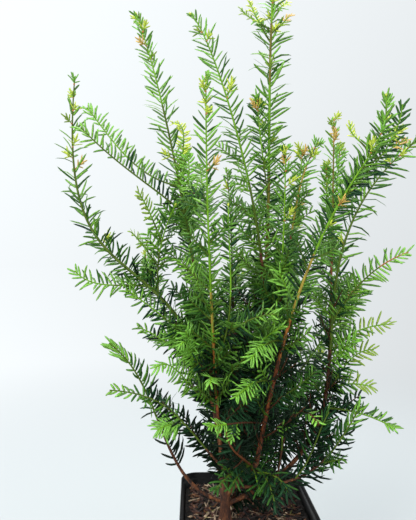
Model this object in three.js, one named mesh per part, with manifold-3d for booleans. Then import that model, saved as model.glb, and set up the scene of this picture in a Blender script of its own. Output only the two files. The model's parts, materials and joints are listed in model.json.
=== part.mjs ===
// A young English yew, Taxus baccata, in a square black nursery pot.
// Millimetres, +Z up. The origin is the middle of the pot's flat underside, and the plant's open front faces -Y.
//
// The trunk rises from the bark mulch and forks low down. Each long shoot is one smooth curve from its foot on
// the trunk, or on another shoot, to its tip. Its lower stretch is a bare bough, and the rest is a mass of
// foliage: a slim stem with needles standing out of it, and side twigs that branch from it by a seeded rule.
import * as THREE from "three";
import { mergeVertices } from "three/addons/utils/BufferGeometryUtils.js";
import Module from "manifold-3d";

const wasm = await Module();
wasm.setup();

// ---- Driving dimensions ----
const CLEAR = 0.3; // gap between pieces that touch
const GAP = 0.8; // least air between one twig's needles and another's

const POT = {
  rim: 95, // half the width across the rim
  foot: 74, // half the width across the foot
  height: 195,
  wall: 2.2,
  lip: 3, // how far the rolled rim stands out
  lipDepth: 11,
  corner: 24, // radius of the rounded corners at the rim
  keepOff: 8, // how far inside and above the wall foliage stays away
  drain: 7, // radius of a drainage hole
  drainAt: 42, // distance of each hole from the middle
};
const SOIL = { level: 178, relief: 3, chips: 18, chipLength: 24, chipThick: 3.4, cells: 7 };
const TRUNK = { x: -31, y: -40, leanX: -2, leanY: 2, length: 60, foot: 7.6, top: 6.4, flare: 4, sunk: 3 };

const STEM = { tip: 0.9, sides: 6, step: 30 };
// Needles: length, lean away from the stem in degrees, distance between rows and turn from row to row. `last` is
// the share of their length that the needles at a tip have.
const NEEDLE = { length: 29, lean: 52, pitch: 11.5, twist: 25, rootWide: 3.4, last: 0.55, ofFlat: 0.85 };
const TWIG = { foot: 1.7, tip: 0.8, pitch: 10.5, needle: 23, lean: 58, angle: 50, lift: 0.35, ofShort: 0.6 };
// Side twigs can leave a stem every `every` mm, turned by the golden angle, and every third place has one here.
// The longest grow low on the stem.
const BRANCHING = { every: 16, kept: 3, turn: 137.5, longest: 112, shortest: 16, minimum: 28, endShare: 0.86 };
const SHORT_SHOOT = 200; // a shoot under this length has shorter twigs

const COLOUR = { plastic: 0x15171a, mulch: 0x6b4a35, bark: 0x7a4a2c, upright: 0x2f5d33, spray: 0x4a8b3c };

// Each long shoot: its name, its parent and the share of the parent's length where it starts; the bearing of its
// tip in degrees anticlockwise from +X, with reach and height in mm from the trunk's foot; its climb in degrees as
// it leaves the parent and as it arrives at the tip; and its radius at the foot. `bow` stretches the two bends and
// `sway` pushes them sideways. `wood` is the share that is a bare bough, side twigs grow on all the rest, and the
// stem's own needles start at the share `leafy`. A spray is a shoot with two ranks of needles.
const shoots = [];
function shoot(name, from, at, [bearing, reach, height], [leave, arrive], foot, more = {}) {
  shoots.push({ name, from, at, bearing, reach, height, leave, arrive, foot, ...more });
}
function spray(name, from, at, tip, climb, foot, more = {}) {
  shoot(name, from, at, tip, climb, foot, { ...more, flat: true });
}
// the framework
shoot("right_limb", "trunk", 0.5, [-16, 44, 88], [70, 65], 4, { wood: 1, end: 3.4 });
shoot("far_left", "trunk", 1, [167, 226, 630], [85, 95], 3.9, { bow: [0.66, 0.64], wood: 0.26, leafy: 0.44 });
shoot("leader", "trunk", 0.8, [34, 90, 776], [65, 85], 3.8, { wood: 0.26, leafy: 0.42 });
shoot("right_front", "right_limb", 1, [-13, 214, 582], [80, 95], 3.2, { bow: [0.8, 0.2], wood: 0.27, leafy: 0.46 });
shoot("right_rear", "trunk", 0.4, [13, 312, 552], [15, 35], 3.6, { bow: [0.5, 0.56], wood: 0.26, leafy: 0.4 });
shoot("left", "trunk", 0.92, [163, 134, 724], [82, 72], 3.2, { bow: [0.5, 0.14], sway: -22, wood: 0.36, leafy: 0.46 });
shoot("centre", "far_left", 0.09, [-125, 50, 606], [80, 90], 2.6, { wood: 0.18, leafy: 0.3 });
shoot("centre_left", "leader", 0.33, [169, 50, 712], [95, 45], 2.3, { bow: [0.28, 0.1], sway: 14, wood: 0.2 });
shoot("centre_right", "leader", 0.2, [7, 87, 525], [60, 88], 2.2, { bow: [0.3, 0.3], wood: 0.16 });
shoot("rear_centre", "leader", 0.14, [86, 150, 518], [35, 60], 2.5, { wood: 0.24, leafy: 0.34 });
shoot("right_inner", "leader", 0.32, [33, 182, 550], [45, 50], 2.2, { wood: 0.18 });
shoot("right_orange", "right_rear", 0.4, [35, 228, 598], [70, 80], 2.3, { wood: 0.24, leafy: 0.36 });
shoot("rear_left", "trunk", 0.8, [105, 238, 446], [70, 60], 2.9, { wood: 0.22, leafy: 0.32 });
shoot("rear_right", "trunk", 0.7, [58, 284, 466], [45, 65], 2.9, { wood: 0.22, leafy: 0.32 });
shoot("rear_low_left", "trunk", 0.55, [104, 222, 238], [40, 25], 2.5, { wood: 0.24 });
shoot("rear_low_right", "trunk", 0.3, [48, 276, 212], [30, 45], 2.5, { wood: 0.24 });
shoot("rear_outer_left", "rear_left", 0.22, [120, 262, 372], [30, 60], 1.9);
shoot("rear_outer_right", "rear_right", 0.24, [32, 268, 322], [20, 50], 1.9);
shoot("rear_middle", "rear_right", 0.16, [80, 196, 356], [60, 65], 1.9);
spray("low_left", "trunk", 0.45, [176, 164, 248], [12, 35], 2.6, { wood: 0.26 });
spray("low_right", "right_limb", 0.3, [0, 190, 160], [0, 60], 2.4, { bow: [0.5, 0.5], wood: 0.36 });
spray("long_left", "right_limb", 0.42, [-166, 160, 194], [47, 5], 1.8, { bow: [0.55, 0.4], sway: 12, wood: 0.3 });
// side shoots of the framework
spray("left_arch", "left", 0.56, [-177, 199, 546], [38, 45], 1.6);
spray("left_arch_rear", "left", 0.62, [154, 236, 605], [12, 50], 1.6);
shoot("left_inner", "far_left", 0.43, [-164, 72, 440], [110, 40], 1.6);
spray("left_arm", "far_left", 0.46, [177, 212, 350], [10, 50], 1.6);
spray("left_under", "far_left", 0.31, [-172, 138, 326], [40, 35], 1.6);
spray("left_twig", "far_left", 0.27, [168, 128, 268], [0, 12], 1.5);
spray("right_mid", "right_rear", 0.5, [0, 258, 376], [60, 20], 1.7);
spray("right_spray_high", "right_rear", 0.43, [2, 236, 274], [60, 5], 1.6);
spray("right_spray_low", "right_rear", 0.35, [5, 214, 182], [30, -15], 1.6);
spray("low_right_tip", "right_rear", 0.31, [-5, 232, 134], [5, -25], 1.5);
shoot("front_fork", "right_limb", 0.85, [-93, 60, 146], [45, 80], 2);
spray("front_long", "centre", 0.28, [-48, 88, 296], [30, 5], 1.5);
spray("front_fan_high", "right_front", 0.32, [-69, 73, 238], [25, -30], 1.5);
spray("front_fan_mid", "right_front", 0.21, [-84, 73, 192], [30, -20], 1.5);
spray("front_fan_low", "right_front", 0.1, [-106, 101, 163], [20, 10], 1.5);
spray("front_spray", "low_right", 0.27, [-39, 142, 162], [80, -30], 1.5, { bow: [0.6, 0.4] });
spray("front_foot", "right_limb", 0.6, [-46, 108, 72], [35, -55], 1.7);

// ---- Small helpers ----
const UP = new THREE.Vector3(0, 0, 1);
const TURN = Math.PI * 2;
const rad = THREE.MathUtils.degToRad;
const mix = THREE.MathUtils.lerp;

// The same number from 0 to 1 each time for the same keys.
function chance(a, b = 0, c = 0) {
  const wave = Math.sin(a * 12.9898 + b * 78.233 + c * 37.719) * 43758.5453;
  return wave - Math.floor(wave);
}

function solidOf(geometry) {
  const bare = geometry.clone();
  bare.deleteAttribute("normal");
  bare.deleteAttribute("uv");
  const merged = mergeVertices(bare, 1e-4);
  const vertProperties = new Float32Array(merged.attributes.position.array);
  const triVerts = new Uint32Array(merged.index.array);
  return new wasm.Manifold(new wasm.Mesh({ numProp: 3, vertProperties, triVerts }));
}

function geometryOf(solid) {
  const mesh = solid.getMesh();
  return new THREE.BufferGeometry()
    .setAttribute("position", new THREE.BufferAttribute(mesh.vertProperties, 3))
    .setIndex(new THREE.BufferAttribute(mesh.triVerts, 1));
}

// The largest closed body of a solid: loose scraps and sealed hollows are left behind.
function mainBody(solid) {
  const bodies = solid.decompose();
  bodies.sort((a, b) => b.volume() - a.volume());
  return bodies[0];
}

// A closed skin over rings of equal length, each a list of points, with a flat fan over each end.
function loft(rings) {
  const count = rings[0].length;
  const points = rings.flat();
  const faces = [];
  for (let i = 0; i + 1 < rings.length; i++) {
    for (let k = 0; k < count; k++) {
      const a = i * count + k;
      const b = i * count + ((k + 1) % count);
      faces.push(a, b, b + count, a, b + count, a + count);
    }
  }
  const last = points.length - count;
  for (let k = 1; k + 1 < count; k++) {
    faces.push(0, k + 1, k);
    faces.push(last, last + k, last + k + 1);
  }
  return new THREE.BufferGeometry().setFromPoints(points).setIndex(faces);
}

// ---- Curves of the shoots ----
const trunkFoot = new THREE.Vector3(TRUNK.x, TRUNK.y, SOIL.level);
const trunkTop = trunkFoot.clone().add(new THREE.Vector3(TRUNK.leanX, TRUNK.leanY, TRUNK.length));
const limbs = new Map();
limbs.set("trunk", {
  name: "trunk",
  curve: new THREE.LineCurve3(trunkFoot, trunkTop),
  length: TRUNK.length,
  radius: (share) => mix(TRUNK.foot, TRUNK.top, share),
});

function climbing(heading, climb) {
  const level = heading.clone().multiplyScalar(Math.cos(rad(climb)));
  return level.addScaledVector(UP, Math.sin(rad(climb)));
}

function growShoot(plan, index) {
  const parent = limbs.get(plan.from);
  const foot = parent.curve.getPointAt(plan.at);
  const tip = trunkFoot.clone();
  tip.x += plan.reach * Math.cos(rad(plan.bearing));
  tip.y += plan.reach * Math.sin(rad(plan.bearing));
  tip.z += plan.height;
  const span = foot.distanceTo(tip);
  const heading = new THREE.Vector3(tip.x - foot.x, tip.y - foot.y, 0).normalize();
  const side = new THREE.Vector3(-heading.y, heading.x, 0);
  const bow = plan.bow ?? [0.36, 0.36];
  const sway = plan.sway ?? 0;
  const leave = foot.clone().addScaledVector(climbing(heading, plan.leave), span * bow[0]);
  const arrive = tip.clone().addScaledVector(climbing(heading, plan.arrive), -span * bow[1]);
  const curve = new THREE.CubicBezierCurve3(
    foot,
    leave.addScaledVector(side, sway),
    arrive.addScaledVector(side, sway),
    tip,
  );
  const end = plan.end ?? STEM.tip;
  return {
    ...plan,
    index,
    parent,
    curve,
    side,
    length: curve.getLength(),
    radius: (share) => mix(plan.foot, end, share),
  };
}
shoots.forEach((plan, index) => limbs.set(plan.name, growShoot(plan, index)));

// The stem's own axes at a share of its length: along it, to its side and to its upper face.
function axesAt(limb, share) {
  const along = limb.curve.getTangentAt(share);
  const side = limb.side.clone().addScaledVector(along, -limb.side.dot(along)).normalize();
  return { at: limb.curve.getPointAt(share), along, side, upper: side.clone().cross(along).negate() };
}

// ---- Which space is taken ----
// Every stem, twig and needle is kept as a short tapering rod. A new one has to clear those of every other twig.
const CELL = 30;
const taken = new Map();
let rodCount = 0;

function cellsOf(rod) {
  const keys = [];
  const low = rod.a.clone().min(rod.b).subScalar(rod.ra + 2).divideScalar(CELL).floor();
  const high = rod.a.clone().max(rod.b).addScalar(rod.ra + 2).divideScalar(CELL).floor();
  for (let x = low.x; x <= high.x; x++) {
    for (let y = low.y; y <= high.y; y++) {
      for (let z = low.z; z <= high.z; z++) keys.push(`${x},${y},${z}`);
    }
  }
  return keys;
}

function take(rod) {
  rod.id = rodCount++;
  for (const key of cellsOf(rod)) {
    if (!taken.has(key)) taken.set(key, []);
    taken.get(key).push(rod);
  }
}

// Least distance between the surfaces of two tapering rods.
function airBetween(p, q) {
  const d1 = p.b.clone().sub(p.a);
  const d2 = q.b.clone().sub(q.a);
  const r = p.a.clone().sub(q.a);
  const a = d1.dot(d1);
  const e = d2.dot(d2);
  const f = d2.dot(r);
  const c = d1.dot(r);
  const b = d1.dot(d2);
  const denominator = a * e - b * b;
  const clamp = THREE.MathUtils.clamp;
  let s = denominator > 1e-9 ? clamp((b * f - c * e) / denominator, 0, 1) : 0;
  let t = (b * s + f) / e;
  if (t < 0 || t > 1) {
    t = clamp(t, 0, 1);
    s = clamp((b * t - c) / a, 0, 1);
  }
  const away = r.addScaledVector(d1, s).addScaledVector(d2, -t).length();
  return away - mix(p.ra, p.rb, s) - mix(q.ra, q.rb, t);
}

function nearPotOrMulch(point) {
  const out = Math.max(Math.abs(point.x), Math.abs(point.y));
  const overWall = Math.abs(out - POT.rim) < 2 * POT.keepOff && point.z < POT.height + POT.keepOff;
  return overWall || point.z < SOIL.level + POT.keepOff;
}

// True where the rod clears the pot, the mulch and all that other twigs have taken.
function isFree(rod, gap, except) {
  for (const share of [0.25, 0.5, 0.75, 1]) {
    if (nearPotOrMulch(rod.a.clone().lerp(rod.b, share))) return false;
  }
  const seen = new Set();
  for (const key of cellsOf(rod)) {
    for (const other of taken.get(key) ?? []) {
      if (seen.has(other.id) || except.includes(other.twig)) continue;
      seen.add(other.id);
      if (airBetween(rod, other) < gap) return false;
    }
  }
  return true;
}

function rodsAlong(limb, from, to, step) {
  const rods = [];
  const count = Math.max(1, Math.ceil(((to - from) * limb.length) / step));
  for (let i = 0; i < count; i++) {
    const s = mix(from, to, i / count);
    const t = mix(from, to, (i + 1) / count);
    rods.push({
      a: limb.curve.getPointAt(s),
      b: limb.curve.getPointAt(t),
      ra: limb.radius(s),
      rb: limb.radius(t),
      twig: limb.name,
    });
  }
  return rods;
}

// ---- Trunk and bare boughs ----
// A cylinder bent along the limb's curve between two shares of its length, tapering as the limb does.
function bentTube(limb, from, to, { spread = 1, swell = 0 } = {}) {
  const rows = Math.max(1, Math.round(((to - from) * limb.length) / STEM.step));
  const rings = [];
  for (let i = 0; i <= rows; i++) {
    const share = mix(from, to, i / rows);
    const { at, side, upper } = axesAt(limb, share);
    const radius = limb.radius(share) * spread + swell;
    const ring = [];
    for (let k = 0; k < STEM.sides; k++) {
      const turn = (TURN * k) / STEM.sides;
      ring.push(
        at.clone().addScaledVector(side, radius * Math.cos(turn)).addScaledVector(upper, radius * Math.sin(turn)),
      );
    }
    rings.push(ring);
  }
  return loft(rings);
}

function trunkSolid(swell = 0) {
  const sides = 10;
  const levels = [
    [-TRUNK.sunk, 1],
    [3, 0.7],
    [9, 0.3],
    [20, 0.05],
    [TRUNK.length, 0],
  ];
  const rings = levels.map(([height, flare], row) => {
    const share = height / TRUNK.length;
    const ring = [];
    for (let k = 0; k < sides; k++) {
      const turn = (TURN * k) / sides;
      const root = 1 + 0.5 * Math.cos(3 * turn + 1); // three surface roots swell the flare
      const radius = mix(TRUNK.foot, TRUNK.top, share) + TRUNK.flare * flare * root + swell;
      const lowered = row === 0 ? swell : 0;
      ring.push(
        new THREE.Vector3(
          TRUNK.x + TRUNK.leanX * share + radius * Math.cos(turn),
          TRUNK.y + TRUNK.leanY * share + radius * Math.sin(turn),
          SOIL.level + height - lowered,
        ),
      );
    }
    return ring;
  });
  return solidOf(loft(rings));
}

// ---- Needled shoots ----
// A three-sided stem whose faces are drawn out into needles where there is room for them.
function needledStem(limb, { from, leafy, pitch, twist, needle, lean, ranks }) {
  const shares = [];
  const bareRows = leafy > from ? Math.max(1, Math.round(((leafy - from) * limb.length) / STEM.step)) : 0;
  for (let i = 0; i < bareRows; i++) shares.push(mix(from, leafy, i / bareRows));
  const leafyRows = Math.max(2, Math.round(((1 - leafy) * limb.length) / pitch));
  for (let i = 0; i < leafyRows; i++) shares.push(mix(leafy, 1, i / leafyRows));
  const rows = shares.length;
  const rings = [];
  const points = [];
  shares.forEach((share, i) => {
    const axes = axesAt(limb, share);
    const radius = limb.radius(share);
    for (let k = 0; k < 3; k++) {
      const turn = rad(90 + 120 * k + twist * i);
      points.push(
        axes.at
          .clone()
          .addScaledVector(axes.side, radius * Math.cos(turn))
          .addScaledVector(axes.upper, radius * Math.sin(turn)),
      );
    }
    rings.push({ share, axes });
  });
  const faces = [0, 2, 1];
  const apex = points.length;
  points.push(limb.curve.getPointAt(1));
  for (let i = 0; i < rows; i++) {
    const base = 3 * i;
    for (let k = 0; k < 3; k++) {
      const a = base + k;
      const b = base + ((k + 1) % 3);
      if (i === rows - 1) {
        faces.push(a, b, apex);
        continue;
      }
      const c = b + 3;
      const d = a + 3;
      const point = needlePoint(i, k, [a, b, c, d]);
      if (point === null) {
        faces.push(a, b, c, a, c, d);
      } else {
        const tip = points.length;
        points.push(point);
        faces.push(a, b, tip, b, c, tip, c, d, tip, d, a, tip);
      }
    }
  }

  function needlePoint(row, face, corners) {
    const { share, axes } = rings[row];
    if (!ranks.includes(face) || row < bareRows) return null;
    const middle = corners.reduce((sum, n) => sum.add(points[n]), new THREE.Vector3()).divideScalar(4);
    const turn = rad(150 + 120 * face + twist * (row + 0.5));
    const out = axes.side.clone().multiplyScalar(Math.cos(turn)).addScaledVector(axes.upper, Math.sin(turn));
    const slant = rad(lean + 14 * (chance(limb.index, row, face) - 0.5));
    const along = (share - leafy) / (1 - leafy);
    const fade = Math.min(1, 0.7 + 2 * along, mix(1, NEEDLE.last, Math.max(0, (along - 0.75) * 4)));
    const length = needle * fade * (0.88 + 0.24 * chance(limb.index, row, face + 5));
    const tip = middle
      .clone()
      .addScaledVector(axes.along, length * Math.cos(slant))
      .addScaledVector(out, length * Math.sin(slant));
    const rod = { a: middle, b: tip, ra: NEEDLE.rootWide, rb: 0.2, twig: limb.name };
    if (!isFree(rod, GAP, [limb.name])) return null;
    take(rod);
    return tip;
  }

  return solidOf(new THREE.BufferGeometry().setFromPoints(points).setIndex(faces));
}

// A side twig: it leaves its parent at an angle and lifts towards the light.
function sideTwig(limb, number, share) {
  const axes = axesAt(limb, share);
  const turn = limb.flat
    ? rad((number % 2 ? 0 : 180) + 30 * (chance(limb.index, number, 11) - 0.5))
    : rad(BRANCHING.turn * number + 360 * chance(limb.index, 0, 12));
  const out = axes.side.clone().multiplyScalar(Math.cos(turn)).addScaledVector(axes.upper, Math.sin(turn));
  const spread = rad(TWIG.angle);
  const start = axes.along.clone().multiplyScalar(Math.cos(spread)).addScaledVector(out, Math.sin(spread));
  const finish = start.clone().addScaledVector(UP, limb.flat ? -TWIG.lift / 3 : TWIG.lift).normalize();
  const vigour = 1 - share / BRANCHING.endShare;
  const most = mix(BRANCHING.shortest, BRANCHING.longest, Math.max(0, vigour));
  const held = limb.length < SHORT_SHOOT ? TWIG.ofShort : 1;
  const length = most * held * (0.55 + 0.45 * chance(limb.index, number, 13));
  const knee = axes.at.clone().addScaledVector(start, length * 0.5);
  const curve = new THREE.QuadraticBezierCurve3(axes.at, knee, knee.clone().addScaledVector(finish, length * 0.5));
  const flatSide = UP.clone().cross(start).normalize();
  return {
    name: `${limb.name}/${number}`,
    index: limb.index * 40 + number,
    curve,
    side: flatSide,
    length: curve.getLength(),
    radius: (u) => mix(Math.min(TWIG.foot, limb.radius(share) * 0.9), TWIG.tip, u),
  };
}

function sideTwigs(limb, from) {
  const twigs = [];
  const count = Math.floor((BRANCHING.endShare * limb.length) / BRANCHING.every);
  for (let number = 1; number <= count; number++) {
    const share = (number * BRANCHING.every) / limb.length;
    if (number % BRANCHING.kept !== 0 || share < from + 12 / limb.length) continue;
    const twig = sideTwig(limb, number, share);
    if (twig.length < BRANCHING.minimum) continue;
    const rods = rodsAlong(twig, 0.12, 1, 12);
    if (rods.every((rod) => isFree(rod, GAP + 1.5, [limb.name]))) {
      rods.forEach(take);
      twigs.push(twig);
    }
  }
  return twigs;
}

// ---- Pot and mulch ----
// A ring of points round a square with rounded corners.
function roundedSquare(half, corner, z, perCorner = 3) {
  const ring = [];
  for (const quarter of [0, 1, 2, 3]) {
    const centre = new THREE.Vector2(half - corner, half - corner);
    for (let i = 0; i <= perCorner; i++) {
      const turn = (Math.PI / 2) * (i / perCorner);
      const point = new THREE.Vector2(Math.cos(turn), Math.sin(turn)).multiplyScalar(corner).add(centre);
      point.rotateAround(new THREE.Vector2(), (Math.PI / 2) * quarter);
      ring.push(new THREE.Vector3(point.x, point.y, z));
    }
  }
  return ring;
}

// Half width of the pot's outer face at a height.
const potHalf = (z) => mix(POT.foot, POT.rim - POT.lip, z / POT.height);
const potCorner = (half) => (POT.corner * half) / POT.rim;

function potSolid() {
  const lipFrom = POT.height - POT.lipDepth;
  const outside = [
    [potHalf(0), 0],
    [potHalf(lipFrom), lipFrom],
    [POT.rim, lipFrom],
    [POT.rim, POT.height],
  ];
  const inside = [
    [POT.rim - POT.wall, POT.height],
    [POT.rim - POT.wall, lipFrom + POT.wall],
    [potHalf(lipFrom) - POT.wall, lipFrom + POT.wall],
    [potHalf(POT.wall) - POT.wall, POT.wall + 1],
  ];
  const rings = [...outside, ...inside].map(([half, z]) => roundedSquare(half, potCorner(half), z));
  let pot = solidOf(loft(rings));
  for (const [x, y] of [[1, 1], [1, -1], [-1, 1], [-1, -1]]) {
    const hole = new THREE.CylinderGeometry(POT.drain, POT.drain, 4 * POT.wall, 8).rotateX(Math.PI / 2);
    hole.translate(x * POT.drainAt, y * POT.drainAt, POT.wall);
    pot = pot.subtract(solidOf(hole));
  }
  return pot;
}

function barkChip(number) {
  const pick = (salt) => chance(900 + number, salt, 1);
  const room = POT.rim - 34;
  const long = SOIL.chipLength * (0.5 + pick(1));
  const chip = new THREE.BoxGeometry(long, long * (0.22 + 0.2 * pick(2)), SOIL.chipThick);
  chip.rotateX(0.5 * (pick(3) - 0.5)).rotateY(0.5 * (pick(4) - 0.5)).rotateZ(TURN * pick(5));
  return chip.translate(room * (2 * pick(6) - 1), room * (2 * pick(7) - 1), SOIL.level + 0.6 + pick(8));
}

// The root ball under its mulch: it fills the pot, and its top is uneven.
function soilSolid() {
  const inset = POT.wall + CLEAR + 0.4;
  const sideAt = (z) => potHalf(z) - inset;
  const low = POT.wall + 1 + CLEAR;
  const rings = [low, 90, SOIL.level - 6, SOIL.level - SOIL.relief].map((z) =>
    roundedSquare(sideAt(z), potCorner(sideAt(z)), z),
  );
  let soil = solidOf(loft(rings));
  const half = POT.rim - 17;
  const top = new THREE.BoxGeometry(2 * half, 2 * half, 8, SOIL.cells, SOIL.cells, 1);
  const points = top.attributes.position;
  for (let i = 0; i < points.count; i++) {
    if (points.getZ(i) < 0) continue;
    const x = Math.round(points.getX(i));
    const y = Math.round(points.getY(i));
    const edge = Math.max(Math.abs(x), Math.abs(y)) > half - 1;
    points.setZ(i, points.getZ(i) + (edge ? -1 : SOIL.relief * (chance(x, y, 3) - 0.4)));
  }
  soil = soil.add(solidOf(top.translate(0, 0, SOIL.level - 4)));
  for (let number = 0; number < SOIL.chips; number++) soil = soil.add(solidOf(barkChip(number)));
  return mainBody(soil.subtract(trunkSolid(CLEAR)));
}

// ---- The plant, piece by piece ----
const plant = new THREE.Group();

function addPiece(name, solid, colour, roughness = 0.8) {
  const material = new THREE.MeshStandardMaterial({ color: colour, roughness, metalness: 0 });
  const mesh = new THREE.Mesh(geometryOf(solid), material);
  mesh.name = name;
  plant.add(mesh);
}

addPiece("pot", potSolid(), COLOUR.plastic, 0.45);
addPiece("mulch", soilSolid(), COLOUR.mulch, 0.95);
addPiece("trunk", trunkSolid(), COLOUR.bark);

// All the stems take their space before any needle does.
rodsAlong(limbs.get("trunk"), 0, 1, 15).forEach(take);
const grown = shoots.map((plan) => limbs.get(plan.name));
for (const limb of grown) rodsAlong(limb, 0, 1, 12).forEach(take);

// Share of the length where a shoot comes clear of its parent.
function startShare(limb) {
  return Math.min(0.3, (limb.parent.radius(limb.at) * 0.3) / limb.length);
}

// Cuts a solid clear of limbs: each is drawn round its six sides and swollen by the gap between pieces.
function cutClear(solid, others) {
  const round = { spread: 1 / Math.cos(Math.PI / STEM.sides), swell: CLEAR };
  let cut = solid;
  for (const other of others) {
    cut = cut.subtract(other.name === "trunk" ? trunkSolid(CLEAR) : solidOf(bentTube(other, 0, 1, round)));
  }
  return mainBody(cut);
}

const woody = [];
for (const limb of grown.filter((l) => l.wood)) {
  const tube = solidOf(bentTube(limb, startShare(limb), limb.wood));
  const near = [limbs.get("trunk"), ...woody.filter((l) => l === limb.parent || l.parent === limb.parent)];
  addPiece(`bough_${limb.name}`, cutClear(tube, near), COLOUR.bark);
  woody.push(limb);
}

const masses = grown.filter((limb) => limb.wood !== 1);
const twigsOf = new Map(masses.map((limb) => [limb, sideTwigs(limb, limb.wood ?? 0)]));
for (const limb of masses) {
  const from = limb.wood ? limb.wood + CLEAR / limb.length : startShare(limb);
  let mass = needledStem(limb, {
    from,
    leafy: Math.max(from, limb.leafy ?? 0),
    pitch: NEEDLE.pitch,
    twist: limb.flat ? 0 : NEEDLE.twist,
    needle: NEEDLE.length * (limb.flat ? NEEDLE.ofFlat : 1),
    lean: NEEDLE.lean,
    ranks: limb.flat ? [0, 2] : [0, 1, 2],
  });
  for (const twig of twigsOf.get(limb)) {
    mass = mass.add(
      needledStem(twig, {
        from: 0,
        leafy: 0,
        pitch: TWIG.pitch,
        twist: 0,
        needle: TWIG.needle,
        lean: TWIG.lean,
        ranks: [0, 2],
      }),
    );
  }
  if (!limb.wood) mass = cutClear(mass, [limb.parent]);
  addPiece(`foliage_${limb.name}`, mainBody(mass), limb.flat ? COLOUR.spray : COLOUR.upright);
}

export default plant;
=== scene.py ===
# A young English yew in a square black nursery pot, on a pale floor in soft studio light.
# Blender units are metres, +Z up. Growth is reckoned in millimetres, and becomes metres in each mesh.
import json
import math

import bmesh
import bpy
import numpy as np
from mathutils import Matrix, Vector, noise

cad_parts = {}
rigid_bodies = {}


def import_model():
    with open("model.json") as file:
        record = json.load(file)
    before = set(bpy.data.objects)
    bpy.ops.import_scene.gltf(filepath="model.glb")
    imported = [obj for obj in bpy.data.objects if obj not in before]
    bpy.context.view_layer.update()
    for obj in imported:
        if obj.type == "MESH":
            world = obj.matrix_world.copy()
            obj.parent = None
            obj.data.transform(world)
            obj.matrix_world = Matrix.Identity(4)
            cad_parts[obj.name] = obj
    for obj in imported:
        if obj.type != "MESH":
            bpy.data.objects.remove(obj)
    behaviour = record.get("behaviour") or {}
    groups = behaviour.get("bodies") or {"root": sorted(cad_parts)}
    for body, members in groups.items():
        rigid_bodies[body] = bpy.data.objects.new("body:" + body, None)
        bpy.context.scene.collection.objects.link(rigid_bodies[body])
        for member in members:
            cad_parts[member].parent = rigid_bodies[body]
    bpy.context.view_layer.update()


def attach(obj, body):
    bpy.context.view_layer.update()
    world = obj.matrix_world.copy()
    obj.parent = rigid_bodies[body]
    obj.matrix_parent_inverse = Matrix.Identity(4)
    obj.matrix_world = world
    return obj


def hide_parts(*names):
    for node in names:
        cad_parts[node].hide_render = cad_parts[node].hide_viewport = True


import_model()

MM = 0.001
TURN = 2 * math.pi

# ---- Driving sizes, in millimetres where they don't say otherwise ----
POT_RIM = 95  # half the width across the rim
POT_FOOT = 74
POT_HEIGHT = 195
POT_WALL = 1.6
POT_LIP = 3  # how far the rolled rim stands out
POT_LIP_DEPTH = 11
POT_CORNER = 24
POT_BAND = 7  # height of the plain band round the foot
POT_STEP = 0.8  # how far the wall stands out over that band
POT_ROUND = 0.8  # of the rim's edges
DRAIN_RADIUS = 7
DRAIN_AT = 42
DRAIN_DRILL = 12
SOIL_LEVEL = 177
SOIL_FOOT = 6
SOIL_GAP = 0.5  # between the compost and the pot's wall
SOIL_SWELLS = ((70, 2.5), (160, 1.2))  # its humps: how fine they are, and how high
CHIP_ROOM = 84  # half the width of the ground that the chips lie on

TRUNK_FOOT = (-31, -40, 178)
TRUNK_LEAN = (-2, 2, 60)
TRUNK_RADII = (7.6, 6.4)
TRUNK_SUNK = 3
TRUNK_FLARE = 4
FLARE_FADES = 7  # the height over which the flare dies away
FORK_RADIUS = 1.3  # of a further axis within a mass, at its foot
STUB = (18, -7, 170), (19, -9, 195), (17, -9, 217)  # a dead twig that sticks up out of the mulch
STUB_RADII = (1.7, 1.1)
CROWN_HEIGHT = 776  # of the leader's tip over the trunk's foot
CROWN_REACH = 230  # of its outside from the trunk's foot
CROWN_MIDDLE = 190  # how far it is behind the trunk

NEEDLE_WIDTH = 3.2
NEEDLE_THICK = 0.5
NARROW_UNDER = 16  # needles shorter than this are narrower too
SPRAY_NEEDLE = 26
SPRAY_SPACING = 2.9  # between one needle and the next along a two-ranked twig
BARE_FOOT = 12  # a bough's lowest stretch has no needles
GOLDEN = 137.5  # degrees round the stem from one twig or needle to the next
TWIG_EVERY = 16
TWIG_LONGEST = 112  # of a side twig at its limb's foot
TWIG_SHORTEST = 16  # of one where they end
TWIG_LEAST = 14  # a twig that would be shorter is left out
TWIG_END = 0.86  # no side twigs past this share of a limb
TWIG_ANGLE = 50  # degrees between a side twig and its limb
TWIG_LIFT = 0.35  # how much it then turns up
TWIG_RADII = (1.25, 0.6)
SLIGHTER = 0.72  # the length of the twigs halfway between two places, against the others
SLIGHTER_END = 0.42  # none of them past this share of a limb
SHORT_SHOOT = 200  # the side twigs of a shorter one are shorter too
TWIGLET_EVERY = 15
TWIGLET_LEAST = 10
TWIGLET_FROM = 40  # a side twig shorter than this has none
TWIGLET_RADII = (0.75, 0.5)
YOUNG_NEEDLE = (8, 15)  # the least and most on shoots of this spring
YOUNG_STALK = (8, 20)
YOUNG_RADII = (0.8, 0.5)
PIECE_TRIANGLES = 190000  # the most that one piece of needles has
# Added to the keys of luck, so that each kind of shoot draws its own
TWIGLET_KEYS = 5000
YOUNG_KEYS = 9000
TIP_KEYS = 900
FAN_KEYS = 30000

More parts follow.
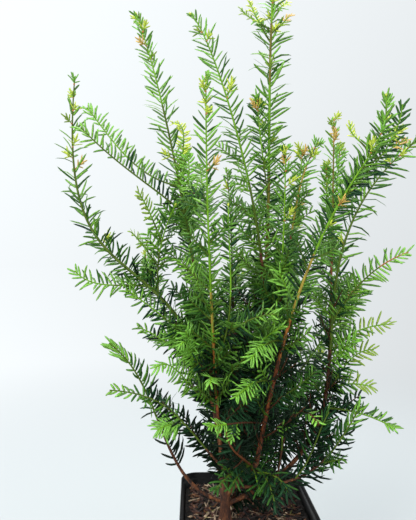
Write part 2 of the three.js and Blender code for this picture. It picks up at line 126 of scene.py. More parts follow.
# ---- Colours, as linear red, green and blue ----
# Fresh, golden, lime and bronze are the colours of young growth; fresh is also the brightest painted light.
# From shade through dark, deep and mid to light, the needle tones are darker and lighter copies of one green:
# painted shade and painted light.
NEEDLE_TONES = {
    "shade": (0.005, 0.017, 0.007),
    "dark": (0.012, 0.05, 0.018),
    "deep": (0.036, 0.115, 0.017),
    "mid": (0.085, 0.225, 0.02),
    "light": (0.155, 0.36, 0.03),
    "fresh": (0.185, 0.45, 0.05),
    "golden": (0.24, 0.37, 0.035),
    "lime": (0.54, 0.66, 0.07),
    "bronze": (0.66, 0.44, 0.11),
}
NEEDLE_SLOTS = {
    **dict.fromkeys(("shade", "dark", "deep"), "needles_dark"),
    **dict.fromkeys(("mid", "light"), "needles_green"),
    **dict.fromkeys(("fresh", "golden", "lime", "bronze"), "needles_fresh"),
}
NEEDLE_GLOSS = {"needles_dark": 0.14, "needles_green": 0.42, "needles_fresh": 0.42}
STEM_TONES = {
    "brown": (0.075, 0.028, 0.014),
    "russet": (0.17, 0.058, 0.022),
    "orange": (0.34, 0.12, 0.025),
    "umber": (0.15, 0.13, 0.02),
    "amber": (0.33, 0.25, 0.04),
    "olive": (0.075, 0.125, 0.012),
    "green": (0.14, 0.31, 0.015),
}
BUD_TONES = {
    "scale": (0.5, 0.19, 0.05),
    "lime": (0.55, 0.62, 0.06),
}
CHIP_TONES = {
    "dark": (0.013, 0.008, 0.006),
    "red": (0.075, 0.028, 0.018),
    "orange": (0.22, 0.095, 0.042),
    "tan": (0.52, 0.38, 0.25),
    "litter": (0.2, 0.2, 0.05),
}
# The colours of scaly bark from its cracks to its scales
BARK_STOPS = (
    (0.36, (0.007, 0.003, 0.002)),
    (0.46, (0.045, 0.018, 0.008)),
    (0.56, (0.105, 0.042, 0.015)),
    (0.68, (0.22, 0.11, 0.05)),
)
# By how much each of red, green and blue is stronger in a bark
BARK_TINTS = {
    "trunk_bark": (1, 0.82, 0.8),
    "bough_bark": (1.45, 1.15, 0.9),
    "warm_bark": (2.2, 1.35, 0.75),
    "dead_bark": (1.7, 1.9, 2.6),
}
WARM_BOUGHS = ("right_front", "centre")  # their young bark is a warmer brown


# ---- Small helpers ----
def chance(a, b=0, c=0):
    """The same number from 0 to 1 each time for the same keys. One key tells which twig or needle it is for,
    and another what is drawn."""
    wave = math.sin(a * 12.9898 + b * 78.233 + c * 37.719) * 43758.5453
    return wave - math.floor(wave)


def mix(a, b, share):
    return a + (b - a) * share


def unit(v):
    return v / math.sqrt(v[0] * v[0] + v[1] * v[1] + v[2] * v[2])


def turned(a, b, angle):
    """The way that lies at an angle from a towards b, which is square to a."""
    return a * math.cos(angle) + b * math.sin(angle)


def shaded(colour, factor):
    return tuple(min(1, c * factor) for c in colour)


def add_object(name, mesh, material, slot, *replaced):
    """A piece of the plant or pot: it stands at the origin, rides on the one body and takes a finish."""
    piece = bpy.data.objects.new(name, mesh)
    bpy.context.collection.objects.link(piece)
    mesh.materials.clear()
    mesh.materials.append(material)
    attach(piece, "root")
    if replaced:
        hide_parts(*replaced)
    return piece


def mesh_from(bm, name):
    mesh = bpy.data.meshes.new(name)
    bm.to_mesh(mesh)
    bm.free()
    return mesh


def smooth_mesh(bm, name):
    """A mesh whose faces point outwards and are shaded smooth."""
    bmesh.ops.recalc_face_normals(bm, faces=bm.faces)
    mesh = mesh_from(bm, name)
    mesh.shade_smooth()
    return mesh


def drawn_out(bm, edges):
    """Draws a ring of edges out, and gives the new ring's vertices and edges, still in the old place."""
    grown = bmesh.ops.extrude_edge_only(bm, edges=edges)["geom"]
    verts = [g for g in grown if isinstance(g, bmesh.types.BMVert)]
    return verts, [g for g in grown if isinstance(g, bmesh.types.BMEdge)]


# ---- Materials ----
class Finish:
    """A node material that is built backwards from its Principled shader."""

    def __init__(self, name, colour, roughness, **sockets):
        self.material = bpy.data.materials.new(name)
        self.material.use_nodes = True
        self.nodes = self.material.node_tree.nodes
        self.links = self.material.node_tree.links
        self.shader = self.nodes["Principled BSDF"]
        self.place = self.nodes.new("ShaderNodeTexCoord").outputs["Object"]
        self.put("Base Color", (*colour, 1))
        self.put("Roughness", roughness)
        for label, value in sockets.items():
            self.put(label.replace("_", " "), value)

    def put(self, socket, value):
        self.shader.inputs[socket].default_value = value

    def mapped(self, scale):
        node = self.nodes.new("ShaderNodeMapping")
        node.inputs["Scale"].default_value = scale
        self.links.new(self.place, node.inputs["Vector"])
        return node.outputs["Vector"]

    def grain(self, scale, detail, where=None, roughness=0.5):
        node = self.nodes.new("ShaderNodeTexNoise")
        node.inputs["Scale"].default_value = scale
        node.inputs["Detail"].default_value = detail
        node.inputs["Roughness"].default_value = roughness
        self.links.new(where or self.place, node.inputs["Vector"])
        return node.outputs["Fac"]

    def ramp(self, value, stops):
        node = self.nodes.new("ShaderNodeValToRGB")
        elements = node.color_ramp.elements
        for element, (position, colour) in zip(elements, (stops[0], stops[-1])):
            element.position = position
            element.color = (*colour, 1)
        for position, colour in stops[1:-1]:
            elements.new(position).color = (*colour, 1)
        self.links.new(value, node.inputs["Fac"])
        return node.outputs["Color"]

    def colour_from(self, value, stops):
        self.links.new(self.ramp(value, stops), self.shader.inputs["Base Color"])

    def roughness_from(self, value, low, high):
        grey = self.ramp(value, [(0.3, (low,) * 3), (0.7, (high,) * 3)])
        self.links.new(grey, self.shader.inputs["Roughness"])

    def bump_from(self, value, strength, distance):
        node = self.nodes.new("ShaderNodeBump")
        node.inputs["Strength"].default_value = strength
        node.inputs["Distance"].default_value = distance
        self.links.new(value, node.inputs["Height"])
        self.links.new(node.outputs["Normal"], self.shader.inputs["Normal"])


def needle_finish(tone):
    colour = NEEDLE_TONES[tone]
    gloss = NEEDLE_GLOSS[NEEDLE_SLOTS[tone]]
    finish = Finish(f"needle_{tone}", colour, 0.36, Specular_IOR_Level=gloss)
    blotch = finish.grain(260, 2)
    finish.colour_from(blotch, [(0.35, shaded(colour, 0.72)), (0.65, shaded(colour, 1.25))])
    finish.bump_from(finish.grain(1500, 1), 0.15, 0.0003)
    return finish.material


def stem_finish(tone):
    colour = STEM_TONES[tone]
    finish = Finish(f"stem_{tone}", colour, 0.5, Specular_IOR_Level=0.16)
    fibre = finish.grain(300, 3, finish.mapped((1, 1, 0.25)))
    finish.colour_from(fibre, [(0.3, shaded(colour, 0.7)), (0.7, shaded(colour, 1.3))])
    finish.bump_from(fibre, 0.3, 0.0004)
    return finish.material


def bud_finish(tone):
    colour = BUD_TONES[tone]
    finish = Finish(f"bud_{tone}", colour, 0.5)
    finish.colour_from(finish.grain(900, 2), [(0.3, shaded(colour, 0.55)), (0.7, shaded(colour, 1.25))])
    return finish.material


def bark_finish(name):
    """Scaly bark, in the tint of its name."""
    finish = Finish(name, STEM_TONES["brown"], 0.85)
    scales = finish.grain(170, 6, finish.mapped((1, 1, 0.4)), 0.68)
    tint = BARK_TINTS[name]
    tinted = [(place, tuple(a * b for a, b in zip(colour, tint))) for place, colour in BARK_STOPS]
    finish.colour_from(scales, tinted)
    finish.bump_from(scales, 0.8, 0.0014)
    return finish.material


def plastic_finish():
    finish = Finish("pot_plastic", (0.003, 0.0035, 0.004), 0.36, Specular_IOR_Level=0.26)
    finish.roughness_from(finish.grain(18, 4), 0.32, 0.5)
    finish.bump_from(finish.grain(700, 2), 0.08, 0.0003)
    return finish.material


def compost_finish():
    # Very dark: the compost's own colour, darkened further as painted shade in the gaps between the chips
    finish = Finish("compost", (0.03, 0.018, 0.012), 0.95)
    crumbs = finish.grain(220, 6, roughness=0.7)
    stops = [(0.35, (0.002, 0.0015, 0.001)), (0.6, (0.012, 0.007, 0.005)), (0.8, (0.05, 0.026, 0.016))]
    finish.colour_from(crumbs, stops)
    finish.bump_from(crumbs, 0.9, 0.002)
    return finish.material


def chip_finish(tone):
    colour = CHIP_TONES[tone]
    finish = Finish(f"chip_{tone}", colour, 0.85)
    fibre = finish.grain(260, 5, finish.mapped((1, 0.3, 1)), 0.6)
    finish.colour_from(fibre, [(0.35, shaded(colour, 0.25)), (0.55, colour), (0.7, shaded(colour, 1.5))])
    finish.bump_from(fibre, 0.6, 0.0008)
    return finish.material


# ---- Camera, light and floor, in metres ----
CAMERA_AT = (-0.078, -0.792, 0.543)
CAMERA_TURN = (90, 0, -1.7)  # degrees
CAMERA_LENS = 37.4
CAMERA_SENSOR = 36
# Each light's place, what it points at, its size, its watts and its colour
LIGHTS = {
    "key": ((-1.2, -1.6, 2.3), (0, 0, 0.55), 1.2, 46, (1, 0.985, 0.95)),
    "fill": ((1.8, -1.2, 1.2), (0, 0, 0.5), 1.6, 12, (1, 1, 1)),
    "top": ((0.2, 0.6, 2.6), (0, 0, 0.6), 1.4, 26, (1, 1, 1)),
}
SKY = (0.935, 0.978, 1.0)
SKY_LEVEL = 0.9
SKY_SLOPE = (-0.26, 0, 0.2)  # how its level grows to the right, to the back and upwards
FLOOR = (0.52, 0.55, 0.56)
FLOOR_FADE = (0.25, 2.4)  # the floor's colour goes over into the surround between these distances
FLOOR_RADIUS = 40


def set_camera():
    camera = bpy.data.cameras.new("camera")
    camera.sensor_width = CAMERA_SENSOR
    camera.lens = CAMERA_LENS
    place = bpy.data.objects.new("camera", camera)
    place.location = CAMERA_AT
    place.rotation_euler = [math.radians(angle) for angle in CAMERA_TURN]
    bpy.context.collection.objects.link(place)
    bpy.context.scene.camera = place


def area_light(name, location, target, size, watts, colour):
    light = bpy.data.lights.new(name, "AREA")
    light.size = size
    light.energy = watts
    light.color = colour
    place = bpy.data.objects.new(name, light)
    place.location = location
    aim = Vector(target) - Vector(location)
    place.rotation_euler = aim.to_track_quat("-Z", "Y").to_euler()
    bpy.context.collection.objects.link(place)


def level_towards(nodes, links, direction):
    """The level of the surround in a direction."""
    slope = nodes.new("ShaderNodeVectorMath")
    slope.operation = "DOT_PRODUCT"
    slope.inputs[1].default_value = SKY_SLOPE
    links.new(direction, slope.inputs[0])
    level = nodes.new("ShaderNodeMath")
    level.inputs[1].default_value = SKY_LEVEL
    links.new(slope.outputs["Value"], level.inputs[0])
    return level.outputs["Value"]


def set_backdrop():
    """An even pale surround, a little brighter to the upper left."""
    world = bpy.data.worlds.new("studio")
    world.use_nodes = True
    nodes, links = world.node_tree.nodes, world.node_tree.links
    sky = nodes["Background"]
    sky.inputs["Color"].default_value = (*SKY, 1)
    direction = nodes.new("ShaderNodeTexCoord").outputs["Generated"]
    links.new(level_towards(nodes, links, direction), sky.inputs["Strength"])
    bpy.context.scene.world = world


def set_floor():
    """A wide disc whose far part glows as the surround does, so that no horizon shows."""
    bm = bmesh.new()
    bmesh.ops.create_circle(bm, cap_ends=True, segments=64, radius=FLOOR_RADIUS)
    bmesh.ops.subdivide_edges(bm, edges=bm.edges, cuts=1)
    finish = Finish("floor", FLOOR, 0.9, Specular_IOR_Level=0)
    nodes, links = finish.nodes, finish.links
    direction = nodes.new("ShaderNodeVectorMath")
    direction.operation = "NORMALIZE"
    links.new(finish.place, direction.inputs[0])
    distance = nodes.new("ShaderNodeVectorMath")
    distance.operation = "LENGTH"
    links.new(finish.place, distance.inputs[0])
    fade = nodes.new("ShaderNodeMapRange")
    fade.interpolation_type = "SMOOTHSTEP"
    fade.inputs["From Min"].default_value, fade.inputs["From Max"].default_value = FLOOR_FADE
    links.new(distance.outputs["Value"], fade.inputs["Value"])
    glow = nodes.new("ShaderNodeMath")
    glow.operation = "MULTIPLY"
    links.new(level_towards(nodes, links, direction.outputs["Vector"]), glow.inputs[0])
    links.new(fade.outputs["Result"], glow.inputs[1])
    links.new(glow.outputs["Value"], finish.shader.inputs["Emission Strength"])
    finish.put("Emission Color", (*SKY, 1))
    finish.colour_from(fade.outputs["Result"], [(0, FLOOR), (1, (0, 0, 0))])
    mesh = mesh_from(bm, "floor")
    mesh.materials.append(finish.material)
    floor = bpy.data.objects.new("floor", mesh)
    bpy.context.collection.objects.link(floor)


def set_studio():
    set_backdrop()
    set_floor()
    for name, light in LIGHTS.items():
        area_light(name, *light)
    bpy.context.scene.view_settings.view_transform = "Standard"


# ---- Shoots: curves read by their share of length ----
class Curve:
    """A smooth bend from its first point to its last, led by the points between them."""

    NUDGE = 0.004  # its direction at a place is taken from this share before it to this share after it

    def __init__(self, *points):
        self.points = [np.array(p, float) for p in points]
        self.u = np.linspace(0, 1, 101)
        trace = self.bezier(self.u)
        self.run = np.concatenate([[0], np.cumsum(np.linalg.norm(np.diff(trace, axis=0), axis=1))])
        self.length = self.run[-1]

    def bezier(self, u):
        """De Casteljau's rule for any number of points."""
        u = np.asarray(u)[..., None]
        rungs = [p + 0 * u for p in self.points]
        while len(rungs) > 1:
            rungs = [a + (b - a) * u for a, b in zip(rungs, rungs[1:])]
        return rungs[0]

    def at(self, share):
        return self.bezier(np.interp(np.asarray(share) * self.length, self.run, self.u))

    def along(self, share):
        share = np.clip(share, self.NUDGE, 1 - self.NUDGE)
        step = self.at(share + self.NUDGE) - self.at(share - self.NUDGE)
        return step / np.linalg.norm(step, axis=-1, keepdims=True)


# How a shoot grows where its row says nothing else
USUAL_HABIT = {
    "wood": 0,  # the share from its foot that is a bare bough
    "flat": False,  # whether it is a spray, with two ranks of needles in a plane
    "needle": 30,  # the length of its longest needles
    "spacing": 3.1,  # between one needle and the next
    "width": 3.5,  # of an upright stem's needles
    "gaps": (0.08, 0.08),  # the share of them that is missing, from its foot to its tip
    "spread": 1.1,  # how far they stray from their rank, in radians
    "lively": 0.6,  # how much their lean and arch vary
    "leafless": 0,  # no needles under this share
    "bare": 0,  # no side twigs under this share
    "thin": 0.12,  # the share of side twigs that is missing
    "twiggy": 0.58,  # side twigs up to this share, and shoots of this spring past it
    "budding": 0.22,  # the share of places for those shoots that have one
    "tufts": 4,  # the shoots of this spring at an upright tip
    "tone": None,  # the tones of its inner and outer needles, where painted light doesn't set them
    "sun": 0,  # how much painted light is added to its needles' tones, or taken away as painted shade
    "pale": 1,  # how much paler a spray gets towards its tip
    "comb": 0,  # the hand to which a spray's needles are combed
    "curl": 0,  # how much they curl towards the tip
    "hang": 0,  # how much they bend down
    "bushy": False,  # whether they stand all round
}


class Stem:
    """One axis of the plant, with its radius at foot and tip and the direction to its side. Its name is that
    of its mass, and a shoot's label is its own."""

    def __init__(self, name, index, curve, side, radii, **habit):
        self.name = name
        self.index = index
        self.curve = curve
        self.length = curve.length
        self.side = np.array(side, float)
        self.radii = radii
        vars(self).update(USUAL_HABIT)
        vars(self).update(habit)

    def radius(self, share):
        return mix(*self.radii, share)

    def axes(self, share):
        """Its point, and the ways along it, to its side and to its upper face."""
        along = self.curve.along(share)
        side = unit(self.side - along * self.side.dot(along))
        return self.curve.at(share), along, side, np.cross(along, side)


UP = np.array((0.0, 0.0, 1.0))
FRONT = np.array((0.0, -1.0, 0.0))
trunk_foot = np.array(TRUNK_FOOT, float)
trunk = Stem("trunk", -1, Curve(trunk_foot, trunk_foot + TRUNK_LEAN), (0, 1, 0), TRUNK_RADII)
limbs = {"trunk": trunk}


def climbing(heading, climb):
    return turned(heading, UP, math.radians(climb))


def shoot(name, parent, at, tip, climb, foot, bow=(0.36, 0.36), sway=0, end=0.9, mass=None, **habit):
    """A long shoot: its parent and the share where it starts; bearing, reach and height of its tip from the
    trunk's foot; its climb as it leaves and as it arrives; its radius at the foot; how long it keeps to each
    climb, as shares of its span; how far it sways aside; and its radius at the tip. It belongs to the mass of
    its own name where it isn't given another."""
    start = limbs[parent].curve.at(at)
    bearing, reach, height = math.radians(tip[0]), tip[1], tip[2]
    finish = trunk_foot + (reach * math.cos(bearing), reach * math.sin(bearing), height)
    span = np.linalg.norm(finish - start)
    heading = unit((finish - start) * (1, 1, 0))
    side = np.array((-heading[1], heading[0], 0))
    leave = start + climbing(heading, climb[0]) * span * bow[0] + side * sway
    arrive = finish - climbing(heading, climb[1]) * span * bow[1] + side * sway
    curve = Curve(start, leave, arrive, finish)
    own = dict(habit, label=name, parent=limbs[parent])
    limbs[name] = Stem(mass or name, len(limbs) - 1, curve, side, (foot, end), **own)


def spray(*plan, needle=SPRAY_NEEDLE, spacing=SPRAY_SPACING, **habit):
    shoot(*plan, flat=True, needle=needle, spacing=spacing, **habit)


def upright_fork(mass, number, at, tip, climb, **habit):
    """A further axis within a mass, as a leader."""
    shoot(f"{mass}_{number}", mass, at, tip, climb, FORK_RADIUS, mass=mass, **habit)


def fork(mass, number, at, tip, climb, **habit):
    """A further axis within a mass, as a spray."""
    spray(f"{mass}_{number}", mass, at, tip, climb, FORK_RADIUS, mass=mass, **habit)


def tuft(mass, number, at, tip, climb, tone, leafless, needle=14):
    """A short further spray near a tip, with small needles on its outer part."""
    fork(mass, number, at, tip, climb, needle=needle, spacing=2, twiggy=0, tone=tone, leafless=leafless)


# Habits that several shoots share; SHADED gives painted shade and SUNLIT painted light
SHADED = {"twiggy": 0, "tone": ("dark", "deep")}
PALE = {"twiggy": 0, "tone": ("light", "fresh")}
GILDED = {"needle": 16, "spacing": 2.6, "twiggy": 0, "tone": ("light", "golden")}
SUNLIT = {"twiggy": 0.16, "tone": ("mid", "golden")}

# The framework; sun adds painted light to a row's needles, or painted shade where it is below 0
shoot("right_limb", "trunk", 0.5, (-16, 44, 88), (70, 65), 4, wood=1, end=3.4)
shoot("far_left", "trunk", 1, (167, 226, 630), (85, 95), 3.9, bow=(0.66, 0.64), wood=0.26, spacing=1.7,
      budding=0.7, gaps=(-1.1, 0.9), spread=1.6, lively=1, bare=0.14, thin=0.5, twiggy=0.34, sun=-0.22,
      width=3.2)
shoot("leader", "trunk", 0.8, (34, 90, CROWN_HEIGHT), (65, 85), 3.8, wood=0.26, needle=35, spacing=2.5,
      budding=0.4, thin=0.45, twiggy=0.5, end=1.5, lively=1)
shoot("right_front", "right_limb", 1, (-13, 214, 582), (80, 95), 3.2, bow=(0.8, 0.2), wood=0.27, needle=28,
      width=3.4, spacing=1.7, budding=0.5, tufts=2, thin=0.3, sun=-0.18)
shoot("right_rear", "trunk", 0.4, (13, 312, 552), (15, 35), 3.6, bow=(0.5, 0.56), wood=0.26, needle=34,
      spacing=3.6, bare=0.18, lively=1, sun=-0.18)
shoot("left", "trunk", 0.92, (163, 134, 724), (82, 72), 3.2, bow=(0.5, 0.14), sway=-22, wood=0.36,
      spacing=2.8, bare=0.2, sun=0.08, thin=0.3, width=3.1)
shoot("centre", "far_left", 0.09, (-125, 50, 606), (80, 90), 2.6, wood=0.18, thin=0.35, needle=27, sun=0.14)
shoot("centre_left", "leader", 0.33, (169, 50, 712), (95, 45), 2.3, bow=(0.28, 0.1), sway=14, wood=0.2,
      spacing=3.1, thin=0.5, tufts=2, sun=0.17, width=3)
shoot("centre_right", "leader", 0.2, (7, 87, 525), (60, 88), 2.2, bow=(0.3, 0.3), wood=0.16)
shoot("rear_centre", "leader", 0.14, (86, 150, 518), (35, 60), 2.5, wood=0.24, needle=22, twiggy=0.75,
      thin=0.45, budding=0.1, tufts=1)
shoot("right_inner", "leader", 0.32, (33, 182, 550), (45, 50), 2.2, wood=0.18, needle=25, spacing=3.6,
      twiggy=0.85, budding=0.4, thin=0.45, width=3, sun=0.08)
shoot("right_orange", "right_rear", 0.4, (35, 228, 598), (70, 80), 2.3, wood=0.24, needle=25, spacing=3.9,
      twiggy=0.85, budding=0.6, thin=0.42, width=3, sun=0.06)
shoot("rear_left", "trunk", 0.8, (105, 238, 446), (70, 60), 2.9, wood=0.22, bare=0.16, thin=0.5)
shoot("rear_right", "trunk", 0.7, (58, 284, 466), (45, 65), 2.9, wood=0.22, thin=0.5, sun=-0.06)
shoot("rear_low_left", "trunk", 0.55, (104, 222, 238), (40, 25), 2.5, wood=0.24, needle=21, thin=0.7,
      twiggy=0.22, sun=-0.1)
shoot("rear_low_right", "trunk", 0.3, (48, 276, 212), (30, 45), 2.5, wood=0.24, thin=0.3, sun=-0.1)
shoot("rear_outer_left", "rear_left", 0.22, (120, 262, 372), (30, 60), 1.9, bare=0.2, thin=0.55, sun=0.14)
shoot("rear_outer_right", "rear_right", 0.24, (32, 268, 322), (20, 50), 1.9, thin=0.5, sun=-0.08)
shoot("rear_middle", "rear_right", 0.16, (80, 196, 356), (60, 65), 1.9, thin=0.55)
spray("low_left", "trunk", 0.45, (176, 164, 248), (12, 35), 2.6, wood=0.26, needle=31, spacing=2.2,
      bare=0.56, twiggy=0.7, thin=0.45, pale=1.6, comb=-1, leafless=0.3, curl=0.3, sun=-0.14)
spray("low_right", "right_limb", 0.3, (0, 190, 160), (0, 60), 2.4, bow=(0.5, 0.5), wood=0.36, needle=28,
      twiggy=0.6, bare=0.46, curl=0.35, sun=-0.14)
spray("long_left", "right_limb", 0.42, (-166, 160, 194), (47, 5), 1.8, bow=(0.55, 0.4), sway=12, wood=0.3,
      needle=19, spacing=3.2, bare=0.5, twiggy=0.7, thin=0.6, pale=1.6, sun=-0.06)
# Side shoots of the framework
spray("left_arch", "left", 0.56, (-177, 199, 546), (38, 45), 1.6, needle=28, spacing=2.5, twiggy=0, comb=-1,
      sun=-0.14)
spray("left_arch_rear", "left", 0.62, (154, 236, 605), (12, 50), 1.6, needle=26, spacing=2.5, twiggy=0,
      comb=-1)
shoot("left_inner", "far_left", 0.43, (-164, 72, 440), (110, 40), 1.6, needle=24, budding=0, tufts=0,
      thin=0.3, sun=0.06)
spray("left_arm", "far_left", 0.46, (177, 212, 350), (10, 50), 1.6, twiggy=0.2)
spray("left_under", "far_left", 0.31, (-172, 138, 326), (40, 35), 1.6, twiggy=0.25, thin=0.5, sun=-0.12)
spray("left_twig", "far_left", 0.27, (168, 128, 268), (0, 12), 1.5, needle=20, twiggy=0.15, sun=-0.1)
spray("right_mid", "right_rear", 0.5, (0, 258, 376), (60, 20), 1.7, twiggy=0.2, needle=27, sun=0.04)
spray("right_spray_high", "right_rear", 0.43, (2, 236, 274), (60, 5), 1.6, needle=25, **SUNLIT)
spray("right_spray_low", "right_rear", 0.35, (5, 214, 182), (30, -15), 1.6, needle=24, **SUNLIT)
spray("low_right_tip", "right_rear", 0.31, (-5, 232, 134), (5, -25), 1.5, needle=20, twiggy=0.15, comb=1,
      spacing=1.8, sun=-0.06)
shoot("front_fork", "right_limb", 0.85, (-93, 60, 146), (45, 80), 2, budding=0, tufts=0, sun=-0.08)
spray("front_long", "centre", 0.28, (-48, 88, 296), (30, 5), 1.5, twiggy=0.6)
spray("front_fan_high", "right_front", 0.32, (-69, 73, 238), (25, -30), 1.5, twiggy=0, hang=0.55)
spray("front_fan_mid", "right_front", 0.21, (-84, 73, 192), (30, -20), 1.5, twiggy=0, hang=0.55)
spray("front_fan_low", "right_front", 0.1, (-106, 101, 163), (20, 10), 1.5, twiggy=0, hang=0.4)
spray("front_spray", "low_right", 0.27, (-39, 142, 162), (80, -30), 1.5, bow=(0.6, 0.4), needle=18,
      twiggy=0, leafless=0.3, pale=1.6)
spray("front_foot", "right_limb", 0.6, (-46, 108, 72), (35, -55), 1.7, needle=30, spacing=1.8, twiggy=0,
      pale=0, curl=0.1, hang=0.3, bushy=True, sun=0.03)
# Further axes of some masses; tones from shade to light are painted shade and painted light
fork("right_spray_low", 2, 0.1, (5, 216, 236), (60, 0), needle=25, **SUNLIT)
fork("low_right", 2, 0.38, (0, 145, 152), (45, 60), needle=28, spacing=2.6, twiggy=0, pale=0, curl=0.35,
     sun=-0.14)
fork("front_spray", 2, 0.3, (-32, 85, 150), (70, 80), needle=13, **PALE, leafless=0.6)
fork("front_foot", 2, 0.4, (-55, 100, 56), (10, -60), needle=24, spacing=1.6, twiggy=0, pale=0, hang=0.4,
     bushy=True, sun=0.03)
fork("front_fork", 2, 0.15, (-100, 41, 88), (20, 10), needle=22, **SHADED, bushy=True)
fork("front_fork", 4, 0.12, (-108, 55, 66), (0, -40), needle=20, spacing=2, **SHADED, bushy=True)
fork("front_fork", 5, 0.1, (-85, 54, 72), (0, -40), needle=20, spacing=2, **SHADED, bushy=True)
fork("front_fork", 3, 0.1, (-49, 67, 63), (20, 0), needle=24, **SHADED)
fork("long_left", 2, 0.5, (-162, 98, 138), (30, -30), needle=25, spacing=1.2, twiggy=0,
     tone=("fresh", "fresh"), hang=0.3)
fork("far_left", 2, 0.17, (-155, 105, 224), (10, -30), needle=21, spacing=2.4, **PALE, hang=0.5,
     leafless=0.35)
fork("far_left", 3, 0.22, (-141, 80, 253), (0, -50), needle=18, spacing=2.2, **PALE, hang=0.5)
fork("centre", 4, 0.12, (-109, 74, 208), (50, -40), needle=18, spacing=2, **PALE, hang=0.5, leafless=0.45)
fork("centre", 3, 0.15, (-37, 90, 280), (40, 30), needle=19, twiggy=0.55)
fork("left", 2, 0.5, (145, 70, 528), (50, 55), needle=18, spacing=2.4, twiggy=0.5, tone=("light", "fresh"))
fork("left", 3, 0.6, (150, 88, 566), (75, -5), needle=14, spacing=2.2, twiggy=0, tone=("light", "lime"))
fork("centre", 5, 0.62, (126, 60, 508), (50, 60), needle=19, spacing=2.4, twiggy=0.5, tone=("mid", "light"))
fork("left_inner", 2, 0.55, (-170, 122, 458), (60, 45), **GILDED)
fork("left_inner", 3, 0.3, (-171, 131, 403), (40, 30), **GILDED)
upright_fork("centre", 2, 0.22, (-88, 35, 438), (50, 90), needle=18, spacing=4.2, budding=0, twiggy=0,
             tufts=0)
upright_fork("leader", 5, 0.55, (32, 57, 597), (85, 88), needle=24, spacing=2.4, budding=0.1, twiggy=0)
upright_fork("right_inner", 2, 0.5, (35, 153, 536), (75, 85), needle=20, spacing=2.6, twiggy=0.3)
upright_fork("right_orange", 2, 0.6, (36, 248, 552), (60, 80), needle=20, spacing=2.6, twiggy=0.3)
upright_fork("right_orange", 3, 0.35, (38, 222, 522), (60, 85), needle=20, spacing=2.4, twiggy=0.3)
fork("right_front", 2, 0.7, (-8.4, 238, 574), (50, 85), needle=24, spacing=2.4, **SHADED)
tuft("right_front", 3, 0.84, (-14.5, 168, 545), (95, 110), ("golden", "lime"), 0.5)
tuft("right_front", 4, 0.84, (-8.4, 239, 543), (40, 45), ("golden", "lime"), 0.6)
tuft("right_front", 5, 0.8, (-9, 243, 526), (30, 25), ("golden", "bronze"), 0.7, needle=13)
tuft("leader", 2, 0.9, (61, 53, 737), (60, 60), ("fresh", "golden"), 0.3)
tuft("leader", 6, 0.88, (52, 62, 750), (60, 70), ("fresh", "lime"), 0.2)
tuft("leader", 3, 0.9, (25, 108, 728), (30, 50), ("golden", "bronze"), 0.4)
tuft("leader", 4, 0.94, (30, 112, 752), (30, 30), ("fresh", "lime"), 0.3, needle=13)

boughs = [s for s in limbs.values() if s.wood]
masses = [s for s in limbs.values() if s.wood != 1 and s is not trunk]

# ---- Tones of each mass: its needles, with their painted light and shade, and its young stem ----
# The shoots that end in a fan of this year's growth: the turn of a second fan, in degrees, and the longest
# needle
FANS = {"front_fan_high": (55, 24), "front_fan_mid": (55, 21), "front_fan_low": (-50, 17)}
FAN_DEPTH = 2.2  # the length of the fan, in such needles
FAN_OLD_NEEDLE = 18  # the longest needle on the older part of such a shoot
FAN_SPACING = 2.1
FAN_RADII = (1, 0.6)
FAN_FROM = 0.1  # no needles under this share
# The colour of each stem up to a share of its length
STEM_RUNS = {
    "right_front": ((0.38, "orange"), (0.56, "amber"), (1, "green")),
    "centre": ((0.3, "orange"), (0.42, "amber"), (1, "green")),
    "far_left": ((0.34, "umber"), (1, "olive")),
    "leader": ((0.3, "brown"), (0.62, "umber"), (0.8, "green"), (0.92, "umber"), (1, "green")),
    "left": ((0.46, "brown"), (0.8, "olive"), (1, "green")),
    "right_rear": ((0.44, "brown"), (1, "olive")),
    "rear_centre": ((0.5, "brown"), (1, "olive")),
    "low_left": ((0.55, "brown"), (1, "olive")),
    "low_right": ((0.6, "brown"), (1, "olive")),
    "front_fork": ((1, "russet"),),
    "front_spray": ((1, "brown"),),
    "front_fan_high": ((0.6, "olive"), (1, "green")),
    "front_fan_mid": ((0.6, "olive"), (1, "green")),
    "front_fan_low": ((0.7, "brown"), (1, "green")),
    "centre_right": ((0.1, "olive"), (1, "green")),
    "right_orange": ((0.45, "russet"), (0.88, "umber"), (1, "amber")),
    "right_inner": ((0.5, "russet"), (0.85, "amber"), (1, "olive")),
    "right_mid": ((0.7, "olive"), (1, "orange")),
}
for label in ("left_arch", "long_left", "low_right_2", "front_foot", "front_foot_2", "front_fork_2",
              "front_fork_4", "front_fork_5", "front_long"):
    STEM_RUNS[label] = ((1, "olive"),)
USUAL_RUN = ((0.45, "olive"), (1, "green"))
# The painted light at shares of the crown's height, and how much its outside and luck add: painted shade low
# and deep in the crown
LIGHT_AT = (0, 0.2, 0.35, 0.6, 0.8, 1), (-0.27, -0.05, 0.17, 0.22, 0.34, 0.42)
OUTSIDE_LIGHT = 0.48
LUCK_LIGHT = 0.56
FULL_LIGHT = 2
# The tones of needles and of twigs with less painted light than each limit, and of this spring's shoots by
# luck
NEEDLE_LIMITS = ((0.29, "shade"), (0.43, "dark"), (0.6, "deep"), (0.82, "mid"), (1.04, "light"))
TWIG_LIMITS = ((0.42, "brown"), (0.85, "olive"))
YOUNG_LIMITS = ((0.13, "bronze"), (0.6, "lime"), (0.8, "golden"))
# The share of side twigs at the front of the crown whose needles get full painted light, and the heights
# where they do
BRIGHT_TWIGS = 0.14
BRIGHT_HEIGHTS = (0.2, 0.48)


def height_share(point):
    return (point[2] - SOIL_LEVEL) / CROWN_HEIGHT


